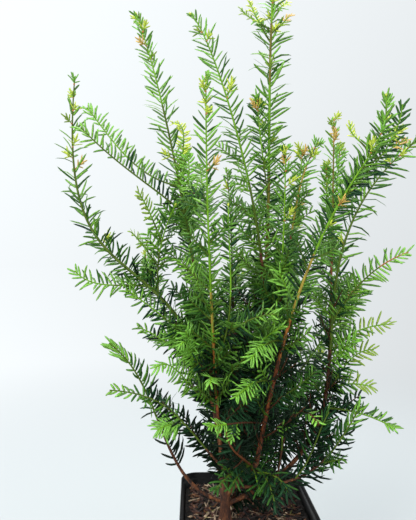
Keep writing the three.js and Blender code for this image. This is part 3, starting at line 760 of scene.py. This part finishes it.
def lit(mass, point, luck):
    """The painted light of a needle: little, as painted shade, when it is low and deep in the crown, and more
    at the outside.
    """
    out = math.hypot(point[0] - trunk_foot[0], point[1] - trunk_foot[1]) / CROWN_REACH
    return np.interp(height_share(point), *LIGHT_AT) + OUTSIDE_LIGHT * out + LUCK_LIGHT * luck + mass.sun


def under(limits, value, last):
    """The tone of the first limit that a value is under, or else the last tone."""
    return next((tone for limit, tone in limits if value < limit), last)


def tone_of(light):
    return under(NEEDLE_LIMITS, light, "fresh")


def to_light(point):
    """The way that a spray at a point turns its upper face: up, and out of the crown, whose middle is far
    back."""
    out = np.array((0.35 * (point[0] - trunk_foot[0]), point[1] - trunk_foot[1] - CROWN_MIDDLE, 0))
    return unit(0.55 * UP + out / (np.linalg.norm(out) + 60))


# ---- Twigs, by the rule of the solids and then finer ----
def side_twig(limb, number, share, held):
    """A side twig that leaves its limb at an angle and lifts towards the light."""
    at, along, side, upper = limb.axes(share)
    if limb.flat:
        turn = math.radians((0 if number % 2 else 180) + 30 * (chance(limb.index, number, 11) - 0.5))
    else:
        turn = math.radians(GOLDEN * number + 360 * chance(limb.index, 0, 12))
    start = turned(along, turned(side, upper, turn), math.radians(TWIG_ANGLE))
    finish = unit(start + UP * (-TWIG_LIFT / 3 if limb.flat else TWIG_LIFT))
    vigour = max(0, 1 - share / TWIG_END)
    length = mix(TWIG_SHORTEST, TWIG_LONGEST, vigour) * (0.6 if limb.length < SHORT_SHOOT else 1)
    length *= held * (0.55 + 0.45 * chance(limb.index, number, 13))
    knee = at + start * length * 0.5
    curve = Curve(at, knee, knee + finish * length * 0.5)
    radii = (min(TWIG_RADII[0], limb.radius(share) * 0.8), TWIG_RADII[1])
    return Stem(limb.name, limb.index * 40 + number, curve, np.cross(UP, start), radii)


def twiglets(twig):
    """Short twigs in the plane of a side twig, in two ranks."""
    grown = []
    if twig.length < TWIGLET_FROM:
        return grown
    for number in range(1, int(twig.length / TWIGLET_EVERY)):
        share = number * TWIGLET_EVERY / twig.length
        length = (1 - share) * twig.length * (0.38 + 0.27 * chance(twig.index, number, 21))
        if share > 0.8 or length < TWIGLET_LEAST:
            continue
        at, along, side, upper = twig.axes(share)
        hand = 1 if number % 2 else -1
        start = along * 0.72 + side * hand * 0.68 + upper * 0.12
        curve = Curve(at, at + start * length * 0.5, at + start * length * 0.55 + along * length * 0.45)
        index = twig.index * 7 + number + TWIGLET_KEYS
        grown.append(Stem(twig.name, index, curve, np.cross(UP, start), TWIGLET_RADII))
    return grown


def young_stalk(limb, number, share, held):
    """The thin stalk of a shoot of this spring, which turns up at its end."""
    at, along, side, upper = limb.axes(share)
    out = turned(side, upper, math.radians(GOLDEN * number + 360 * chance(limb.index, 5, 12)))
    lean = math.radians(mix(35, 65, chance(limb.index, number, 31)))
    start = turned(along, out, lean)
    length = mix(*YOUNG_STALK, chance(limb.index, number, 32)) * held
    curve = Curve(at, at + start * length * 0.5, at + start * length * 0.85 + UP * length * 0.2)
    index = limb.index * 50 + number + YOUNG_KEYS
    return Stem(limb.name, index, curve, np.cross(along, out), YOUNG_RADII)


def side_fan(limb, turn, length):
    """The stalk of a second fan, from the middle of its shoot, that hangs a little."""
    at, along, _, _ = limb.axes(0.5)
    away = np.array(Matrix.Rotation(math.radians(turn), 3, "Y") @ Vector(along)) - UP * 0.25
    curve = Curve(at, at + away * length * 0.5, at + (away - UP * 0.3) * length)
    return Stem(limb.name, limb.index * 60 + FAN_KEYS, curve, np.cross(UP, along), FAN_RADII, hang=0.4)


# ---- Needles ----
# Each ring of a needle: its place along it, and its half width and half thickness there
NEEDLE_RINGS = ((0.1, 0.9, 1), (0.5, 1, 1), (0.86, 0.74, 0.7), (1, 0.02, 0.02))


def needle_template():
    """A flat blade with a ridge on both faces: a short stalk, nearly parallel edges and a sharp point. X runs
    from the stalk to the point, from 0 to 1, Y across, from -1 to 1, and Z through it, from -1 to 1."""
    bm = bmesh.new()
    ring = bmesh.ops.create_circle(bm, cap_ends=True, segments=4, radius=1)["verts"]
    bmesh.ops.rotate(bm, verts=ring, cent=(0, 0, 0), matrix=Matrix.Rotation(math.radians(90), 3, "Y"))
    bmesh.ops.scale(bm, vec=(1, 0.3, 0.6), verts=ring)
    edges = bm.edges[:]
    for reach, wide, thick in NEEDLE_RINGS:
        ring, edges = drawn_out(bm, edges)
        across = max(abs(v.co.y) for v in ring)
        through = max(abs(v.co.z) for v in ring)
        bmesh.ops.scale(bm, vec=(1, wide / across, thick / through), verts=ring)
        bmesh.ops.translate(bm, vec=(reach - ring[0].co.x, 0, 0), verts=ring)
    bmesh.ops.pointmerge(bm, verts=ring, merge_co=(1, 0, 0))
    bmesh.ops.recalc_face_normals(bm, faces=bm.faces)
    return bm


def arrays_of(bm):
    """Vertices, corner lists and face sizes of a small shape, to be repeated."""
    bm.verts.index_update()
    points = np.array([v.co[:] for v in bm.verts])
    corners = np.array([v.index for f in bm.faces for v in f.verts])
    sizes = np.array([len(f.verts) for f in bm.faces])
    bm.free()
    return points, corners, sizes


def repeated(name, placed, corners, sizes, smooth=False):
    """One mesh of many copies of a shape, whose placed vertices come copy by copy, in millimetres."""
    copies, each = placed.shape[0], placed.shape[1]
    all_corners = (corners[None, :] + each * np.arange(copies)[:, None]).ravel()
    all_sizes = np.tile(sizes, copies)
    starts = np.concatenate([[0], np.cumsum(all_sizes)[:-1]])
    mesh = bpy.data.meshes.new(name)
    mesh.vertices.add(copies * each)
    mesh.vertices.foreach_set("co", (placed * MM).ravel().astype(np.float32))
    mesh.loops.add(len(all_corners))
    mesh.loops.foreach_set("vertex_index", all_corners.astype(np.int32))
    mesh.polygons.add(len(all_sizes))
    mesh.polygons.foreach_set("loop_start", starts.astype(np.int32))
    mesh.polygons.foreach_set("loop_total", all_sizes.astype(np.int32))
    mesh.update(calc_edges=True)
    if smooth:
        mesh.shade_smooth()
    return mesh


class Foliage:
    """Collects needles by tone, and turns each tone into joined pieces."""

    def __init__(self):
        self.rows = {tone: [] for tone in NEEDLE_TONES}
        self.nodes = {tone: set() for tone in NEEDLE_TONES}
        self.points, self.corners, self.sizes = arrays_of(needle_template())

    def add(self, tone, stem, foot, way, face, length, width, arch, sweep):
        """A needle from foot, in direction way, with its upper face towards face, that arches and sweeps."""
        self.rows[tone].append((*foot, *way, *face, length, width, arch, sweep))
        self.nodes[tone].add(f"foliage_{stem.name}")

    def placed(self, rows):
        """The vertices of each needle, in its place."""
        rows = np.array(rows)
        foot, way, face = rows[:, 0:3], rows[:, 3:6], rows[:, 6:9]
        way /= np.linalg.norm(way, axis=1, keepdims=True)
        face = face - way * np.sum(face * way, axis=1, keepdims=True)
        face /= np.linalg.norm(face, axis=1, keepdims=True)
        across = np.cross(face, way)
        length, width, arch, sweep = (rows[:, i : i + 1] for i in range(9, 13))
        x, y, z = self.points.T[:, None, :]
        forward = length * (x - 0.5 * (arch**2 + sweep**2) * x**3)
        sideways = width / 2 * y + length * sweep * x**2
        upward = NEEDLE_THICK / 2 * z - length * arch * x**2
        parts = zip((forward, sideways, upward), (way, across, face))
        return foot[:, None, :] + sum(amount[..., None] * axis[:, None, :] for amount, axis in parts)

    def build(self):
        most = PIECE_TRIANGLES // int(sum(size - 2 for size in self.sizes))
        for tone, rows in self.rows.items():
            material = needle_finish(tone)
            for part, start in enumerate(range(0, len(rows), most)):
                name = f"needles_{tone}_{part + 1}"
                mesh = repeated(name, self.placed(rows[start : start + most]), self.corners, self.sizes)
                add_object(name, mesh, material, NEEDLE_SLOTS[tone], *sorted(self.nodes[tone]))


foliage = Foliage()


# From the foot of an upright stem to its tip: how far its needles lean away from it, in degrees, and how long
# they are
UPRIGHT_LEAN = (0, 0.3, 0.7, 0.92, 1), (70, 58, 48, 40, 18)
UPRIGHT_LENGTH = (0, 0.25, 0.85, 1), (0.72, 0.95, 1, 0.45)
UPRIGHT_END = 0.995
# Between what luck varies them: their length, the turn of their face in degrees, their arch and their sweep
UPRIGHT_LUCK = (0.72, 1.14)
UPRIGHT_ROLL = (25, 80)
UPRIGHT_ARCH = (-0.05, 0.8)
UPRIGHT_SWEEP = (-0.15, 0.15)
UPRIGHT_STRAY = 42  # the degrees that their lean varies on the liveliest stem


def clothe_upright(stem, start):
    """Needles on an upright stem, in two broad ranks to its left and right. Low ones stand well out, and
    those near the tip point along the stem."""
    count = int((UPRIGHT_END - start) * stem.length / stem.spacing)
    for n in range(count):
        share = mix(start, UPRIGHT_END, (n + 0.5) / count)
        key = stem.index * 1000 + n
        if chance(key, 12) < mix(*stem.gaps, share):
            continue
        at, along = stem.curve.at(share), stem.curve.along(share)
        across = unit(np.cross(along, FRONT))
        turn = math.pi * (n % 2) + stem.spread * (chance(key, 1) + chance(key, 9) - 1)
        out = turned(across, np.cross(along, across), turn)
        lean = np.interp(share, *UPRIGHT_LEAN) + UPRIGHT_STRAY * stem.lively * (chance(key, 2) - 0.5)
        way = turned(along, out, math.radians(lean))
        length = stem.needle * np.interp(share, *UPRIGHT_LENGTH)
        length *= mix(*UPRIGHT_LUCK, chance(key, 3))
        foot = at + out * stem.radius(share) * 0.7
        roll = mix(*UPRIGHT_ROLL, chance(key, 6)) * (1 if chance(key, 10) < 0.7 else -1)
        face = turned(along, np.cross(along, out), math.radians(roll))
        arch = mix(UPRIGHT_ARCH[0], UPRIGHT_ARCH[1] * stem.lively, chance(key, 4))
        sweep = mix(*UPRIGHT_SWEEP, chance(key, 5))
        # Painted light and shade set the needle's tone
        tone = tone_of(lit(stem, at, chance(key, 3, 7)))
        foliage.add(tone, stem, foot, way, face, length, stem.width, arch, sweep)


# On a spray: the degrees between needle and twig, along it and at its tip, and how much that varies
SPRAY_LEAN = (64, 30)
SPRAY_STRAY = 34
# Between what luck varies its needles: how far they rise, their length, their arch and their sweep
SPRAY_RISE = (-0.1, 0.7)
SPRAY_LUCK = (0.72, 1.12)
SPRAY_ARCH = (-0.1, 0.46)
SPRAY_SWEEP = (-0.22, 0.2)
SPRAY_SWELL = (0.24, 0.84)  # the stretch of a half wave that their lengths follow from foot to tip
# On the side that a spray is combed away from: up to which share of it few needles stand, what share of them
# is missing, and how long the others are
COMBED_TO = 0.85
COMBED_OUT = 0.85
COMBED_LENGTH = 0.6


def clothe_spray(stem, start, tone, longest, spacing=SPRAY_SPACING, width=NEEDLE_WIDTH, end=0.99):
    """Needles in two ranks, left and right in turn, that rise in a shallow V from a face turned to the light,
    or all round on a bushy shoot. A shoot that is combed to one side has few on its other side. They curl
    towards the tip, and bend down as they hang more. The tone is a name, or a function that gives one."""
    count = max(4, int((end + 0.01 - start) * stem.length / spacing))
    for n in range(count):
        share = mix(start, end, (n + 0.5) / count)
        key = stem.index * 100 + n
        hand = 1 if n % 2 else -1
        shorter = stem.comb * hand < 0 and share < COMBED_TO
        if shorter and chance(key, 12) < COMBED_OUT:
            continue
        at, along = stem.curve.at(share), stem.curve.along(share)
        side = unit(np.cross(to_light(at), along) + 0.2 * stem.side)
        upper = np.cross(along, side)
        tip = max(0, (share - 0.75) * 4)
        lean = math.radians(mix(*SPRAY_LEAN, tip) + SPRAY_STRAY * (chance(key, 2) - 0.5))
        if stem.bushy:
            out = turned(side, upper, math.radians(GOLDEN * n))
        else:
            out = unit(side * hand + upper * mix(*SPRAY_RISE, chance(key, 1)))
        way = unit(turned(along, out, lean) - UP * stem.hang * mix(0.4, 1, chance(key, 6)))
        swell = math.sin(math.pi * mix(*SPRAY_SWELL, share)) ** 0.7
        length = longest * mix(*SPRAY_LUCK, chance(key, 3)) * swell * (COMBED_LENGTH if shorter else 1)
        arch = mix(*SPRAY_ARCH, chance(key, 4))
        sweep = -hand * (stem.curl + mix(*SPRAY_SWEEP, chance(key, 5)))
        foot = at + out * stem.radius(share) * 0.6
        shown = tone(share, at, key) if callable(tone) else tone
        foliage.add(shown, stem, foot, way, upper, length, width, arch, sweep)


# ---- Stems of twigs, as curves with a round bevel that are made meshes ----
class Twigwork:
    """Collects the axes of twigs by tone, and turns each tone into one piece."""

    def __init__(self):
        self.routes = {tone: [] for tone in STEM_TONES}
        self.nodes = {tone: set() for tone in STEM_TONES}

    def add(self, tone, stem, start, end, step):
        if end <= start:
            return
        count = max(3, int((end - start) * stem.length / step) + 1)
        shares = np.linspace(start, end, count)
        self.routes[tone].append((stem.curve.at(shares), stem.radius(shares)))
        self.nodes[tone].add(f"foliage_{stem.name}")

    def build(self):
        for tone, routes in self.routes.items():
            curve = bpy.data.curves.new("twig_axes", "CURVE")
            curve.dimensions = "3D"
            curve.bevel_depth = MM
            curve.bevel_resolution = 1
            curve.use_fill_caps = True
            for points, radii in routes:
                line = curve.splines.new("POLY")
                line.points.add(len(points) - 1)
                line.points.foreach_set("co", np.column_stack([points * MM, np.ones(len(points))]).ravel())
                line.points.foreach_set("radius", radii)
            holder = bpy.data.objects.new("twig_axes", curve)
            mesh = bpy.data.meshes.new_from_object(holder)
            bpy.data.objects.remove(holder)
            mesh.shade_smooth()
            name = f"stems_{tone}"
            mesh.name = name
            add_object(name, mesh, stem_finish(tone), "bark", *sorted(self.nodes[tone]))


twigwork = Twigwork()


# ---- Buds and their scales ----
class Buds:
    """Collects buds by tone, and turns each tone into one piece."""

    def __init__(self):
        bm = bmesh.new()
        bmesh.ops.create_cone(bm, cap_ends=True, segments=6, radius1=0.3, radius2=0.03, depth=1)
        upright = [e for e in bm.edges if abs(e.verts[0].co.z - e.verts[1].co.z) > 0.5]
        bmesh.ops.subdivide_edges(bm, edges=upright, cuts=1)
        waist = [v for v in bm.verts if abs(v.co.z) < 0.1]
        bmesh.ops.scale(bm, vec=(2.1, 2.1, 1), verts=waist)
        self.shape = arrays_of(bm)
        self.spots = {tone: [] for tone in BUD_TONES}

    def add(self, tone, at, along, size):
        self.spots[tone].append((at, along, size))

    def build(self):
        points, corners, sizes = self.shape
        for tone, spots in self.spots.items():
            placed = []
            for at, along, size in spots:
                turn = np.array(Vector(along).to_track_quat("Z", "Y").to_matrix())
                placed.append(at + (points * size) @ turn.T)
            name = f"buds_{tone}"
            mesh = repeated(name, np.array(placed), corners, sizes, smooth=True)
            add_object(name, mesh, bud_finish(tone), "needles_fresh")


buds = Buds()


# ---- The living plant ----
def grow_young(limb, number, share, held):
    """A shoot of this spring: a thin stalk, a tuft of pale needles on its outer part, and a bud's scales at
    its foot. It is slighter when it is held back."""
    young = young_stalk(limb, number, share, held)
    tone = under(YOUNG_LIMITS, chance(limb.index, number, 68), "fresh")
    count = 6 + int(young.length / 4)
    for n in range(count):
        step = n / (count - 1)
        at, along, side, upper = young.axes(mix(0.35, 1, step))
        out = turned(side, upper, math.radians(GOLDEN * n))
        way = turned(along, out, math.radians(mix(66, 16, step)))
        length = mix(*YOUNG_NEEDLE, chance(limb.index, number, 50 + n)) * mix(0.8, 1, held)
        foliage.add(tone, limb, at, way, -FRONT + along, length, width=2.4, arch=0.12, sweep=0)
    twigwork.add("orange" if tone == "bronze" else "green", young, 0, 1, step=5)
    at, along, _, _ = young.axes(0)
    buds.add("scale", at + along * 1.5, along, size=4)


def grow_twig(limb, twig):
    """A side twig with its needles and its own short twigs."""
    middle = twig.curve.at(0.6)
    # Painted light and shade set the tones of the twig's needles and of its stalk
    light = lit(limb, middle, chance(twig.index, 3, 7))
    low, high = BRIGHT_HEIGHTS
    in_front = middle[1] < trunk_foot[1] + 20
    # Painted light: a few twigs at the front of the crown get full light, so their needles take the brightest
    # tone
    if chance(twig.index, 71) < BRIGHT_TWIGS and low < height_share(middle) < high and in_front:
        light = FULL_LIGHT

    def tone(share, at, key):
        return tone_of(light + 0.16 * (share - 0.5) + 0.12 * (chance(key, 8) - 0.5))

    clothe_spray(twig, 4 / twig.length, tone, mix(0.78, 1.05, chance(twig.index, 1, 9)) * SPRAY_NEEDLE)
    stalk = under(TWIG_LIMITS, light, "green")
    twigwork.add(stalk, twig, 0, 1, step=10)
    for small in twiglets(twig):
        clothe_spray(small, 3 / small.length, tone, SPRAY_NEEDLE * 0.8, spacing=3.2, width=2.8)
        twigwork.add(stalk, small, 0, 1, step=8)


def grow_side_twigs(limb):
    """Side twigs at every place of the rule, and slighter ones halfway between them on the lower part."""
    first = max(limb.bare, (BARE_FOOT if limb.wood else 8) / limb.length)
    places = int(2 * TWIG_END * limb.length / TWIG_EVERY)
    for half in range(2, places + 1):
        number = half / 2
        share = number * TWIG_EVERY / limb.length
        between = half % 2 == 1
        if share < first or (between and share > SLIGHTER_END) or chance(limb.index, number, 61) < limb.thin:
            continue
        if share > limb.twiggy:
            if not limb.flat and share > 0.5 and chance(limb.index, number, 41) < limb.budding:
                grow_young(limb, number, share, held=1)
            continue
        twig = side_twig(limb, number, share, held=SLIGHTER if between else 1)
        if twig.length > TWIG_LEAST:
            grow_twig(limb, twig)


def clothe_fans(limb):
    """Older needles, a fan of fresh ones at the end, and a second fan beside it."""
    turn, longest = FANS[limb.name]
    fresh_from = 1 - FAN_DEPTH * longest / limb.length
    clothe_spray(limb, fresh_from, "fresh", longest, FAN_SPACING, width=2.9)
    clothe_spray(limb, FAN_FROM, "dark", FAN_OLD_NEEDLE, end=fresh_from)
    fan = side_fan(limb, turn, longest * 1.1)
    clothe_spray(fan, FAN_FROM, "fresh", longest * 0.7, FAN_SPACING, width=2.7)
    twigwork.add("green", fan, 0, 1, step=5)


def clothe(limb):
    """The needles along a limb itself."""

    def toned(share, at, key):
        return limb.tone[share + 0.3 * chance(key, 8) > 0.7]

    def paler(share, at, key):
        # Painted light and shade set the tone, and the spray grows paler towards its tip as young growth
        more = 0.3 * (share - 0.6) + 1.6 * max(0, share - 0.8)
        return tone_of(lit(limb, at, chance(key, 3, 7)) + limb.pale * more)

    start = max(limb.leafless, (BARE_FOOT if limb.wood else 6) / limb.length)
    if limb.name in FANS:
        clothe_fans(limb)
    elif limb.tone:
        width = NEEDLE_WIDTH * min(1, limb.needle / NARROW_UNDER)
        clothe_spray(limb, start, toned, limb.needle, limb.spacing, width)
    elif limb.flat:
        clothe_spray(limb, start, paler, limb.needle, limb.spacing)
    else:
        clothe_upright(limb, start)


def grow_mass(limb):
    """All that one axis carries: needles, its stem in its colours, side twigs and the shoots at its tip."""
    clothe(limb)
    begin = limb.wood
    for until, tone in STEM_RUNS.get(limb.label, USUAL_RUN):
        twigwork.add(tone, limb, begin, until, step=6)
        begin = max(begin, until)
    grow_side_twigs(limb)
    if not limb.flat:
        for number in range(limb.tufts):
            grow_young(limb, TIP_KEYS + number, 0.9 + 0.03 * number, held=0.55)
        at, along, _, _ = limb.axes(1)
        buds.add("lime", at + along, along, size=4.5)


# ---- Trunk and boughs, with the relief of their bark ----
# Long ridges and smaller lumps: how fine they are, and how high
BARK_RELIEF = (((0.3, 0.3, 0.1), 0.5), (0.6, 0.35))


def order_as(previous, ring):
    """The new ring's vertices in the order of the ring that they were drawn out of."""
    fresh = set(ring)
    return [next(e.other_vert(v) for e in v.link_edges if e.other_vert(v) in fresh) for v in previous]


def bark_tube(bm, stem, start, end, step, sides, radius_of=None):
    """A bent tube, drawn out ring by ring and closed at both ends, with ridges along it."""
    rows = max(3, int((end - start) * stem.length / step))
    order = bmesh.ops.create_circle(bm, cap_ends=True, segments=sides, radius=1)["verts"]
    edges = list({e for v in order for e in v.link_edges})
    for row in range(rows + 1):
        if row > 0:
            ring, edges = drawn_out(bm, edges)
            order = order_as(order, ring)
        share = mix(start, end, row / rows)
        at, along, side, upper = stem.axes(share)
        for k, vert in enumerate(order):
            turn = TURN * k / sides
            out = turned(side, upper, turn)
            radius = radius_of(share, turn) if radius_of else stem.radius(share)
            point = at + out * radius
            relief = sum(high * noise.noise(Vector(point * fine)) for fine, high in BARK_RELIEF)
            vert.co = Vector((point + out * relief) * MM)
    bmesh.ops.contextual_create(bm, geom=edges)


def add_wood(name, bm, *replaced):
    add_object(name, smooth_mesh(bm, name), bark_finish(name), "bark", *replaced)


def build_trunk():
    """The trunk with its root flare, from under the mulch to the dome where it forks."""
    sunk = np.array(TRUNK_LEAN) / TRUNK_LEAN[2] * TRUNK_SUNK
    whole = Stem("trunk", -1, Curve(trunk_foot - sunk, trunk_foot + TRUNK_LEAN), (0, 1, 0), TRUNK_RADII)

    def trunk_radius(share, turn):
        height = share * whole.length - TRUNK_SUNK
        flare = math.exp(-max(0, height) / FLARE_FADES) * (1 + 0.5 * math.cos(3 * turn + 1))
        dome = math.sqrt(max(0.3, 1 - max(0, (share - 0.95) / 0.05) ** 2))
        return (whole.radius(share) + TRUNK_FLARE * flare) * dome

    bm = bmesh.new()
    bark_tube(bm, whole, 0, 1, step=1.6, sides=28, radius_of=trunk_radius)
    add_wood("trunk_bark", bm, "trunk")


def build_boughs():
    """The boughs in two pieces, by their bark. Each starts inside its parent and ends in its mass."""
    for name in ("bough_bark", "warm_bark"):
        group = [limb for limb in boughs if (limb.name in WARM_BOUGHS) == (name == "warm_bark")]
        bm = bmesh.new()
        for limb in group:
            inside = limb.parent.radius(0.5) * 0.3 / limb.length
            bark_tube(bm, limb, inside, min(1, limb.wood + 0.01), step=4, sides=12)
        add_wood(name, bm, *[f"bough_{limb.name}" for limb in group])


def build_stub():
    """The dead twig in the mulch."""
    stub = Stem("stub", -2, Curve(*STUB), (0, 1, 0), STUB_RADII)
    bm = bmesh.new()
    bark_tube(bm, stub, 0, 1, step=4, sides=8)
    add_object("dead_stub", smooth_mesh(bm, "dead_stub"), bark_finish("dead_bark"), "bark")


# ---- Pot ----
def pot_wall(z):
    """Half the width across the pot's wall at a height."""
    return mix(POT_FOOT, POT_RIM - POT_LIP, z / POT_HEIGHT)


def build_pot():
    """A thin square pot: a rounded square drawn up the outside, over the rolled rim and down the inside."""
    bm = bmesh.new()
    bmesh.ops.create_grid(bm, x_segments=1, y_segments=1, size=POT_FOOT * MM)
    corner = POT_CORNER * POT_FOOT / POT_RIM * MM
    bmesh.ops.bevel(bm, geom=bm.verts[:], offset=corner, offset_type="OFFSET", affect="VERTICES", segments=8,
                    profile=0.5, material=-1)
    straight = [e for e in bm.edges if e.calc_length() > corner]
    bmesh.ops.subdivide_edges(bm, edges=straight, cuts=7)
    edges = bm.edges[:]
    lip_from = POT_HEIGHT - POT_LIP_DEPTH
    inner = POT_RIM - POT_WALL
    # Half the width and the height of each ring
    profile = [(POT_FOOT - 0.4, 0), (POT_FOOT, 0.6), (pot_wall(POT_BAND), POT_BAND)]
    profile += [(pot_wall(z) + POT_STEP, z) for z in (POT_BAND + 1, 40, 90, 140, 170)]
    profile += [(pot_wall(lip_from), lip_from - POT_ROUND), (POT_RIM - 0.6, lip_from)]
    profile += [(POT_RIM, lip_from + POT_ROUND), (POT_RIM, POT_HEIGHT - 1)]
    profile += [(POT_RIM - 0.4, POT_HEIGHT - 0.2), (POT_RIM - POT_ROUND, POT_HEIGHT)]
    profile += [(inner, POT_HEIGHT - 0.6), (inner, lip_from + 2.6), (inner - 1, lip_from + 1.8)]
    profile += [(pot_wall(z) - POT_WALL + 0.6, z) for z in (lip_from, 150, 100, 50, 2.2)]
    now = POT_FOOT
    for wide, z in profile:
        ring, edges = drawn_out(bm, edges)
        bmesh.ops.scale(bm, vec=(wide / now, wide / now, 1), verts=ring)
        bmesh.ops.translate(bm, vec=(0, 0, z * MM - ring[0].co.z), verts=ring)
        now = wide
    bmesh.ops.contextual_create(bm, geom=edges)
    shell = smooth_mesh(bm, "pot_shell")
    drill_drains(add_object("pot_shell", shell, plastic_finish(), "pot_plastic", "pot"))


def drill_drains(pot):
    """Four drainage holes through the floor of the pot."""
    bm = bmesh.new()
    size = DRAIN_RADIUS * MM
    for x in (-DRAIN_AT, DRAIN_AT):
        for y in (-DRAIN_AT, DRAIN_AT):
            place = Matrix.Translation((x * MM, y * MM, 0))
            bmesh.ops.create_cone(bm, cap_ends=True, segments=24, radius1=size, radius2=size,
                                  depth=DRAIN_DRILL * MM, matrix=place)
    drill = bpy.data.objects.new("drill", mesh_from(bm, "drill"))
    bpy.context.collection.objects.link(drill)
    cut = pot.modifiers.new("drains", "BOOLEAN")
    cut.object = drill
    cut.solver = "EXACT"
    drilled = bpy.data.meshes.new_from_object(pot.evaluated_get(bpy.context.evaluated_depsgraph_get()))
    pot.modifiers.clear()
    pot.data = drilled
    bpy.data.objects.remove(drill)


# ---- Compost and bark mulch ----
def build_compost():
    """The root ball's compost: a rough upper face, and sides that narrow down inside the pot's wall."""
    half = pot_wall(SOIL_LEVEL) - POT_WALL - SOIL_GAP
    bm = bmesh.new()
    bmesh.ops.create_grid(bm, x_segments=70, y_segments=70, size=half * MM)
    for vert in bm.verts:
        swell = sum(noise.noise(vert.co * fine) * high for fine, high in SOIL_SWELLS)
        vert.co.z = (SOIL_LEVEL - 2 + swell) * MM
    ring, edges = drawn_out(bm, [e for e in bm.edges if e.is_boundary])
    for vert in ring:
        vert.co.z = SOIL_FOOT * MM
    narrow = (POT_FOOT - POT_WALL - 2 * SOIL_GAP) / half
    bmesh.ops.scale(bm, vec=(narrow, narrow, 1), verts=ring)
    bmesh.ops.contextual_create(bm, geom=edges)
    add_object("compost", smooth_mesh(bm, "compost"), compost_finish(), "bark_mulch", "mulch")


def chip_template(key):
    """A split sliver of bark: a slab with skewed, uneven ends."""
    bm = bmesh.new()
    bmesh.ops.create_cube(bm, size=1)
    lengthways = [e for e in bm.edges if abs(e.verts[0].co.x - e.verts[1].co.x) > 0.5]
    bmesh.ops.subdivide_edges(bm, edges=lengthways, cuts=2)
    for n, vert in enumerate(bm.verts):
        vert.co.x += 0.22 * (chance(key, n, 1) - 0.5)
        vert.co.y *= mix(0.55, 1.1, chance(key, n, 2))
        vert.co.z += 0.5 * (chance(key, n, 3) - 0.5)
    return arrays_of(bm)


# The chips of each tone: their count, and the least and most length, width and thickness
CHIPS = {
    "dark": (420, (9, 32), (1.4, 6), (0.8, 2.4)),
    "red": (360, (9, 32), (1.4, 6), (0.8, 2.4)),
    "orange": (150, (9, 30), (1, 5), (0.6, 1.8)),
    "tan": (190, (9, 34), (0.7, 4), (0.5, 1.5)),
    "litter": (110, (12, 22), (1, 1.8), (0.4, 0.6)),
}
CHIP_PITCH = (-0.4, 0.4)  # how far they tip endways and sideways, in radians
CHIP_ROLL = (-0.7, 0.7)


def build_chips():
    """Chips of bark that lie on the compost, tone by tone, each within the room that its length leaves it."""
    number = 0
    for tone, (count, lengths, widths, depths) in CHIPS.items():
        points, corners, sizes = chip_template(number)
        placed = []
        for _ in range(count):
            number += 1
            luck = [chance(number, salt, 17) for salt in range(9)]
            long = mix(*lengths, luck[2])
            size = np.array((long, mix(*widths, luck[3] ** 1.6), mix(*depths, luck[4])))
            turn = Matrix.Rotation(TURN * luck[5], 3, "Z")
            turn = turn @ Matrix.Rotation(mix(*CHIP_PITCH, luck[6]), 3, "Y")
            turn = turn @ Matrix.Rotation(mix(*CHIP_ROLL, luck[7]), 3, "X")
            end = turn @ Vector((long / 2, 0, 0))
            reach = CHIP_ROOM - max(abs(end.x), abs(end.y))
            x = reach * (2 * luck[0] - 1)
            y = reach * (2 * luck[1] - 1)
            z = SOIL_LEVEL + mix(-2, 2, luck[8]) + 2.5 * noise.noise(Vector((x, y, 0)) * 0.07) + 1.5
            placed.append(np.array((x, y, z)) + (points * size) @ np.array(turn).T)
        name = f"mulch_chips_{tone}"
        mesh = repeated(name, np.array(placed), corners, sizes)
        add_object(name, mesh, chip_finish(tone), "bark_mulch", "mulch")


set_camera()
set_studio()
build_pot()
build_compost()
build_chips()
build_trunk()
build_boughs()
build_stub()
for mass in masses:
    grow_mass(mass)
foliage.build()
twigwork.build()
buds.build()
